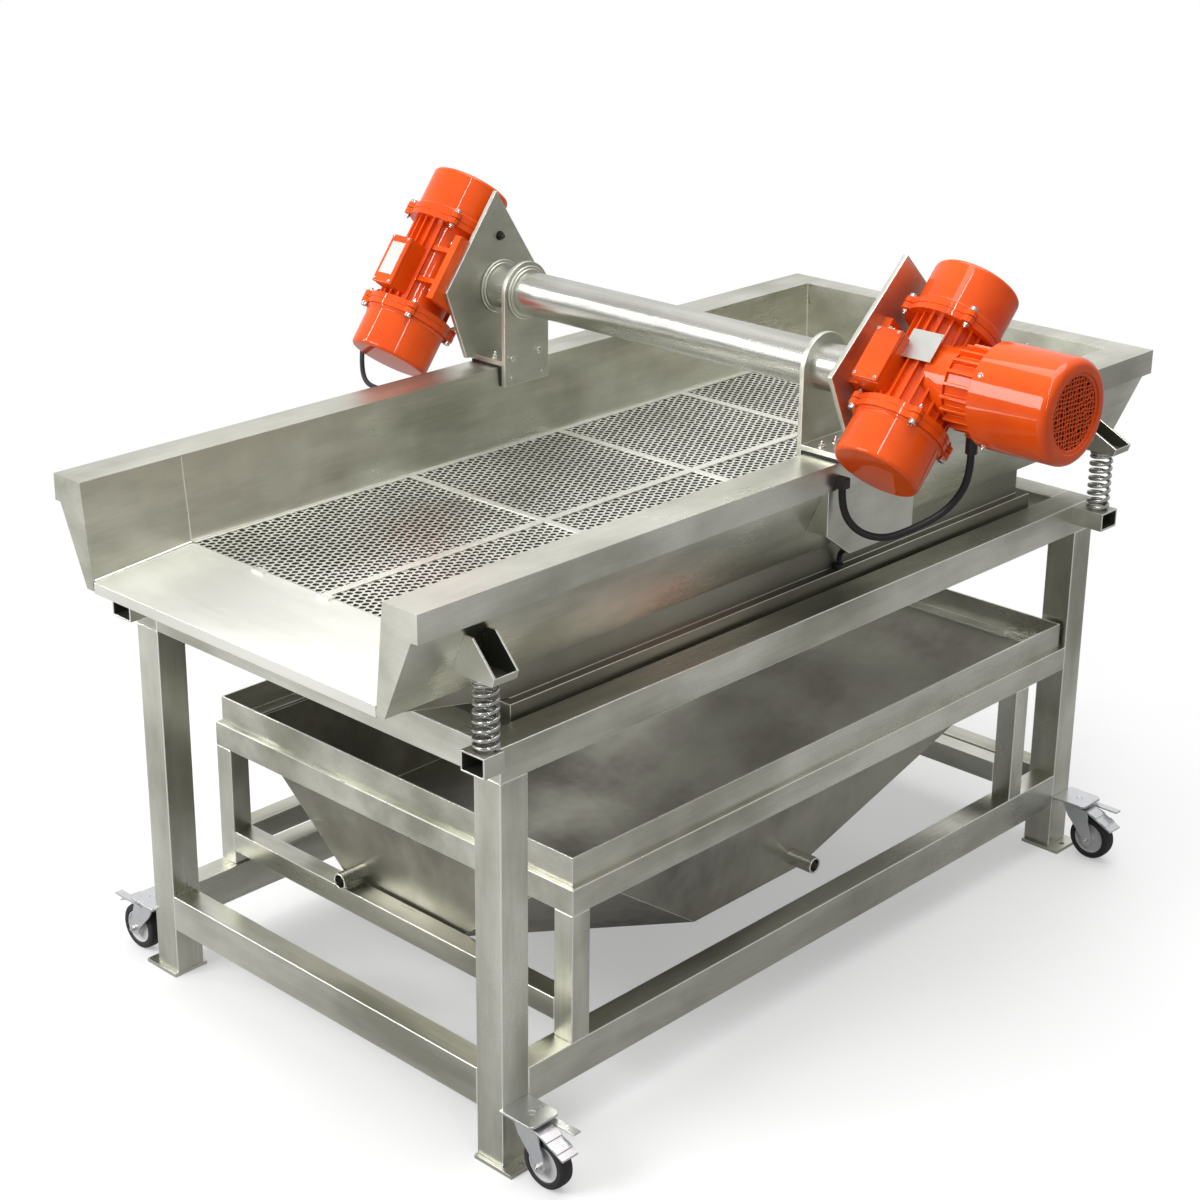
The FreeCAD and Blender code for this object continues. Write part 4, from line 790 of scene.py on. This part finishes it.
def cowl():
    """Fan cowl with a rolled front edge, its inside painted near-black as shade, and its rim
    screws.
    """
    bm = bmesh.new()
    turned(bm, [(0, 0), (0.0750, 0), (0.0760, 0.001), (0.0760, 0.1130), (0.0754, 0.1175),
                (0.0738, 0.1215), (0.0712, 0.1245), (0.0680, 0.1264), (0.0640, 0.1270),
                (0.0580, 0.1270), (0.0570, 0.1260), (0.0570, 0.1205), (0.0700, 0.1160),
                (0.0730, 0.1120), (0.0730, 0.0030), (0, 0.0030)],
           facing(DRIVE_AXIS, (1, 0, 0)), 64)
    bmesh.ops.recalc_face_normals(bm, faces=bm.faces)
    # Faces inside the cowl take the near-black finish, painted shade.
    for face in bm.faces:
        spoke = face.calc_center_median() - DRIVE_AXIS
        depth = spoke.x
        spoke.x = 0
        if 0.002 < depth < 0.1205 and face.normal.dot(spoke) <= 0:
            face.material_index = 1
    piece = settle("cowl_shell", bm, [ORANGE, COWL_SHADE], "trough")
    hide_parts("fan_cowl")
    screws = bmesh.new()
    for angle in (55, 145, 235, 325):
        out = Vector((0, math.cos(math.radians(angle)), math.sin(math.radians(angle))))
        spot = DRIVE_AXIS + Vector((0.012, 0, 0)) + out * 0.0754
        hex_bolt(screws, facing(spot, out), 0.0042)
    settle("cowl_screws", screws, [BOLT], "trough")


def grille():
    """Irregular net in the mouth of the cowl, with a rim round it."""
    bm = bmesh.new()
    count = int(2 * NET_REACH / NET_CELL) + 2
    bmesh.ops.create_grid(bm, x_segments=count, y_segments=count, size=count * NET_CELL / 2)
    for vert in bm.verts:
        shove = noise.noise_vector(vert.co * NET_JITTER_SCALE + Vector((3.7, 9.1, 0)))
        vert.co += Vector((shove.x, shove.y, 0)) * NET_JITTER
    outside = [face for face in bm.faces if face.calc_center_median().length > NET_REACH]
    bmesh.ops.delete(bm, geom=outside, context="FACES")
    cells = list(bm.faces)
    bmesh.ops.inset_individual(bm, faces=cells, thickness=NET_WIRE, use_even_offset=True)
    bmesh.ops.delete(bm, geom=cells, context="FACES")
    bmesh.ops.solidify(bm, geom=list(bm.faces), thickness=NET_THICK)
    place = facing(DRIVE_AXIS, (1, 0, 0)) @ Matrix.Translation((0, 0, 0.1235))
    placed(bm, list(bm.verts), place)
    turned(bm, [(0.0515, -0.0018), (0.0570, -0.0018), (0.0570, 0.0012), (0.0522, 0.0012),
                (0.0515, 0.0004), (0.0515, -0.0018)], place, 64)
    piece = hand_over("cowl_net", bm, [ORANGE], "trough", 40)
    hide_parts("cowl_grille")


def motor_bolts(side, across):
    """Screws and nuts of the flange rings, and the nuts of the foot."""
    bm = bmesh.new()
    place = MOTOR_PLACES[side]
    for quarter in range(4):
        angle = math.radians(45 + 90 * quarter)
        lug = Vector((LUG_REACH * math.cos(angle) * across, LUG_REACH * math.sin(angle), 0))
        for end in (1, -1):
            front = facing(lug + Vector((0, 0, LUG_FRONT * end)), (0, 0, end))
            back = facing(lug + Vector((0, 0, LUG_BACK * end)), (0, 0, -end), 12)
            socket_screw(bm, place @ front, 0.0062)
            hex_bolt(bm, place @ back, 0.0058, washer=False)
    for y in (-FOOT_NUTS, FOOT_NUTS):
        for z in (-FOOT_NUTS, FOOT_NUTS):
            foot = facing((-FOOT_FACE * across, y, z), (across, 0, 0), 8)
            hex_bolt(bm, place @ foot, 0.0060)
    settle("motor_bolts_" + side, bm, [BOLT], "trough")


def blank_plates():
    """Bare rating plates, one riveted over the right motor's fins, one on the left cable box."""
    left = MOTOR_PLACES["left"]
    right = MOTOR_PLACES["right"]
    bm = bmesh.new()
    block(bm, (-0.015, -0.0632, -0.005), (0.037, -0.0612, 0.041), 0.0003, right)
    block(bm, (-0.017, -0.0878, -0.046), (0.013, -0.0866, 0.010), 0.0003, left)
    for x in (-0.012, 0.034):
        for z in (-0.002, 0.038):
            socket_screw(bm, right @ facing((x, -0.0631, z), (0, -1, 0)), 0.0011)
    settle("blank_plates", bm, [BLANK], "trough")


# Casters

def dress_casters():
    dressed("caster_plates", ZINC, 0.0008, edge=BLANK)
    for corner, (across, along) in CORNERS.items():
        dressed("caster_fork_" + corner, ZINC, 0.0006, edge=BLANK)
        caster_wheel(corner, across, along)
        axle_nuts(corner, across, along)


def axle_nuts(corner, across, along):
    """Nuts at both ends of the axle."""
    bm = bmesh.new()
    for end in (1, -1):
        spot = (WHEEL_X * across, WHEEL_Y * along + 0.0178 * end, WHEEL_Z)
        hex_bolt(bm, facing(spot, (0, end, 0), 10), 0.0062, washer=False)
    settle("axle_nuts_" + corner, bm, [BOLT], "swivel_" + corner)


def caster_wheel(corner, across, along):
    """Black tread on a grey hub with a bore for the axle and a ring on each face."""
    tread = [(0.0262, -0.0105), (0.0280, -0.0120), (0.0335, -0.0120), (0.0366, -0.0095),
             (0.0375, -0.005), (0.0375, 0.005), (0.0366, 0.0095), (0.0335, 0.0120),
             (0.0280, 0.0120), (0.0262, 0.0105), (0.0262, -0.0105)]
    ring = [(0.0235, 0.0076), (0.0235, 0.0084), (0.0222, 0.0084), (0.0222, 0.0076)]
    hub = [(0.0041, -0.0147), (0.0100, -0.0147), (0.0108, -0.0140), (0.0115, -0.0075),
           (0.0225, -0.0075), (0.0245, -0.0105), (0.0262, -0.0105), (0.0262, 0.0105),
           (0.0245, 0.0105), (0.0225, 0.0075), (0.0115, 0.0075), (0.0108, 0.0140),
           (0.0100, 0.0147), (0.0041, 0.0147), (0.0041, -0.0147)]
    place = facing((WHEEL_X * across, WHEEL_Y * along, WHEEL_Z), (0, 1, 0))
    bm = bmesh.new()
    turned(bm, tread, place, 48)
    for end in (1, -1):
        turned(bm, ring, place @ facing((0, 0, 0), (0, 0, end)), 36, 1)
    turned(bm, hub, place, 36, 1)
    piece = settle("wheel_" + corner, bm, [TYRE, HUB], "wheel_" + corner)
    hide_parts("caster_wheel_" + corner)


# Cables

CABLES = {
    # node: (diameter, length, route in millimetres)
    "drive_cable": (0.011, 0.304, [
        (537, 97, 880), (537, 97, 854), (530, 93, 822), (509, 80, 788), (474, 58, 761),
        (440, 35, 742), (407, 13, 751), (388, 0, 784), (388, 0, 816)]),
    "right_lead": (0.008, 0.0935, [
        (362, 63, 730), (362, 63, 714), (355, 67, 696), (338, 79, 688), (322, 88, 676),
        (322, 88, 660)]),
    "left_lead": (0.008, 0.298, [
        (-529, -52, 951), (-545, -52, 951), (-559, -54, 938), (-562, -64, 912),
        (-552, -84, 880), (-528, -110, 850), (-494, -138, 834), (-458, -160, 830),
        (-424, -171, 832), (-396, -171, 832)]),
}


def cable(node, diameter, route):
    """A rubber cable along its route, in place of its plain tube."""
    curve = bpy.data.curves.new(node + "_line", "CURVE")
    curve.dimensions = "3D"
    curve.bevel_depth = diameter / 2
    curve.bevel_resolution = 5
    curve.use_fill_caps = True
    spline = curve.splines.new("NURBS")
    spline.points.add(len(route) - 1)
    for point, (x, y, z) in zip(spline.points, route):
        point.co = (x / 1000, y / 1000, z / 1000, 1)
    spline.order_u = 3
    spline.use_endpoint_u = True
    spline.resolution_u = 12
    curve.materials.append(BLACK)
    piece = bpy.data.objects.new(node + "_rubber", curve)
    bpy.context.scene.collection.objects.link(piece)
    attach(piece, "trough")
    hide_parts(node)
    return piece


def dress_cables():
    for node, (diameter, length, route) in CABLES.items():
        piece = cable(node, diameter, route)


set_camera()
set_world()
set_floor()
set_lamps()
dress_frame()
dress_screen()
dress_trough()
dress_springs()
dress_motors()
dress_casters()
dress_cables()
bpy.context.scene.view_settings.view_transform = "Standard"
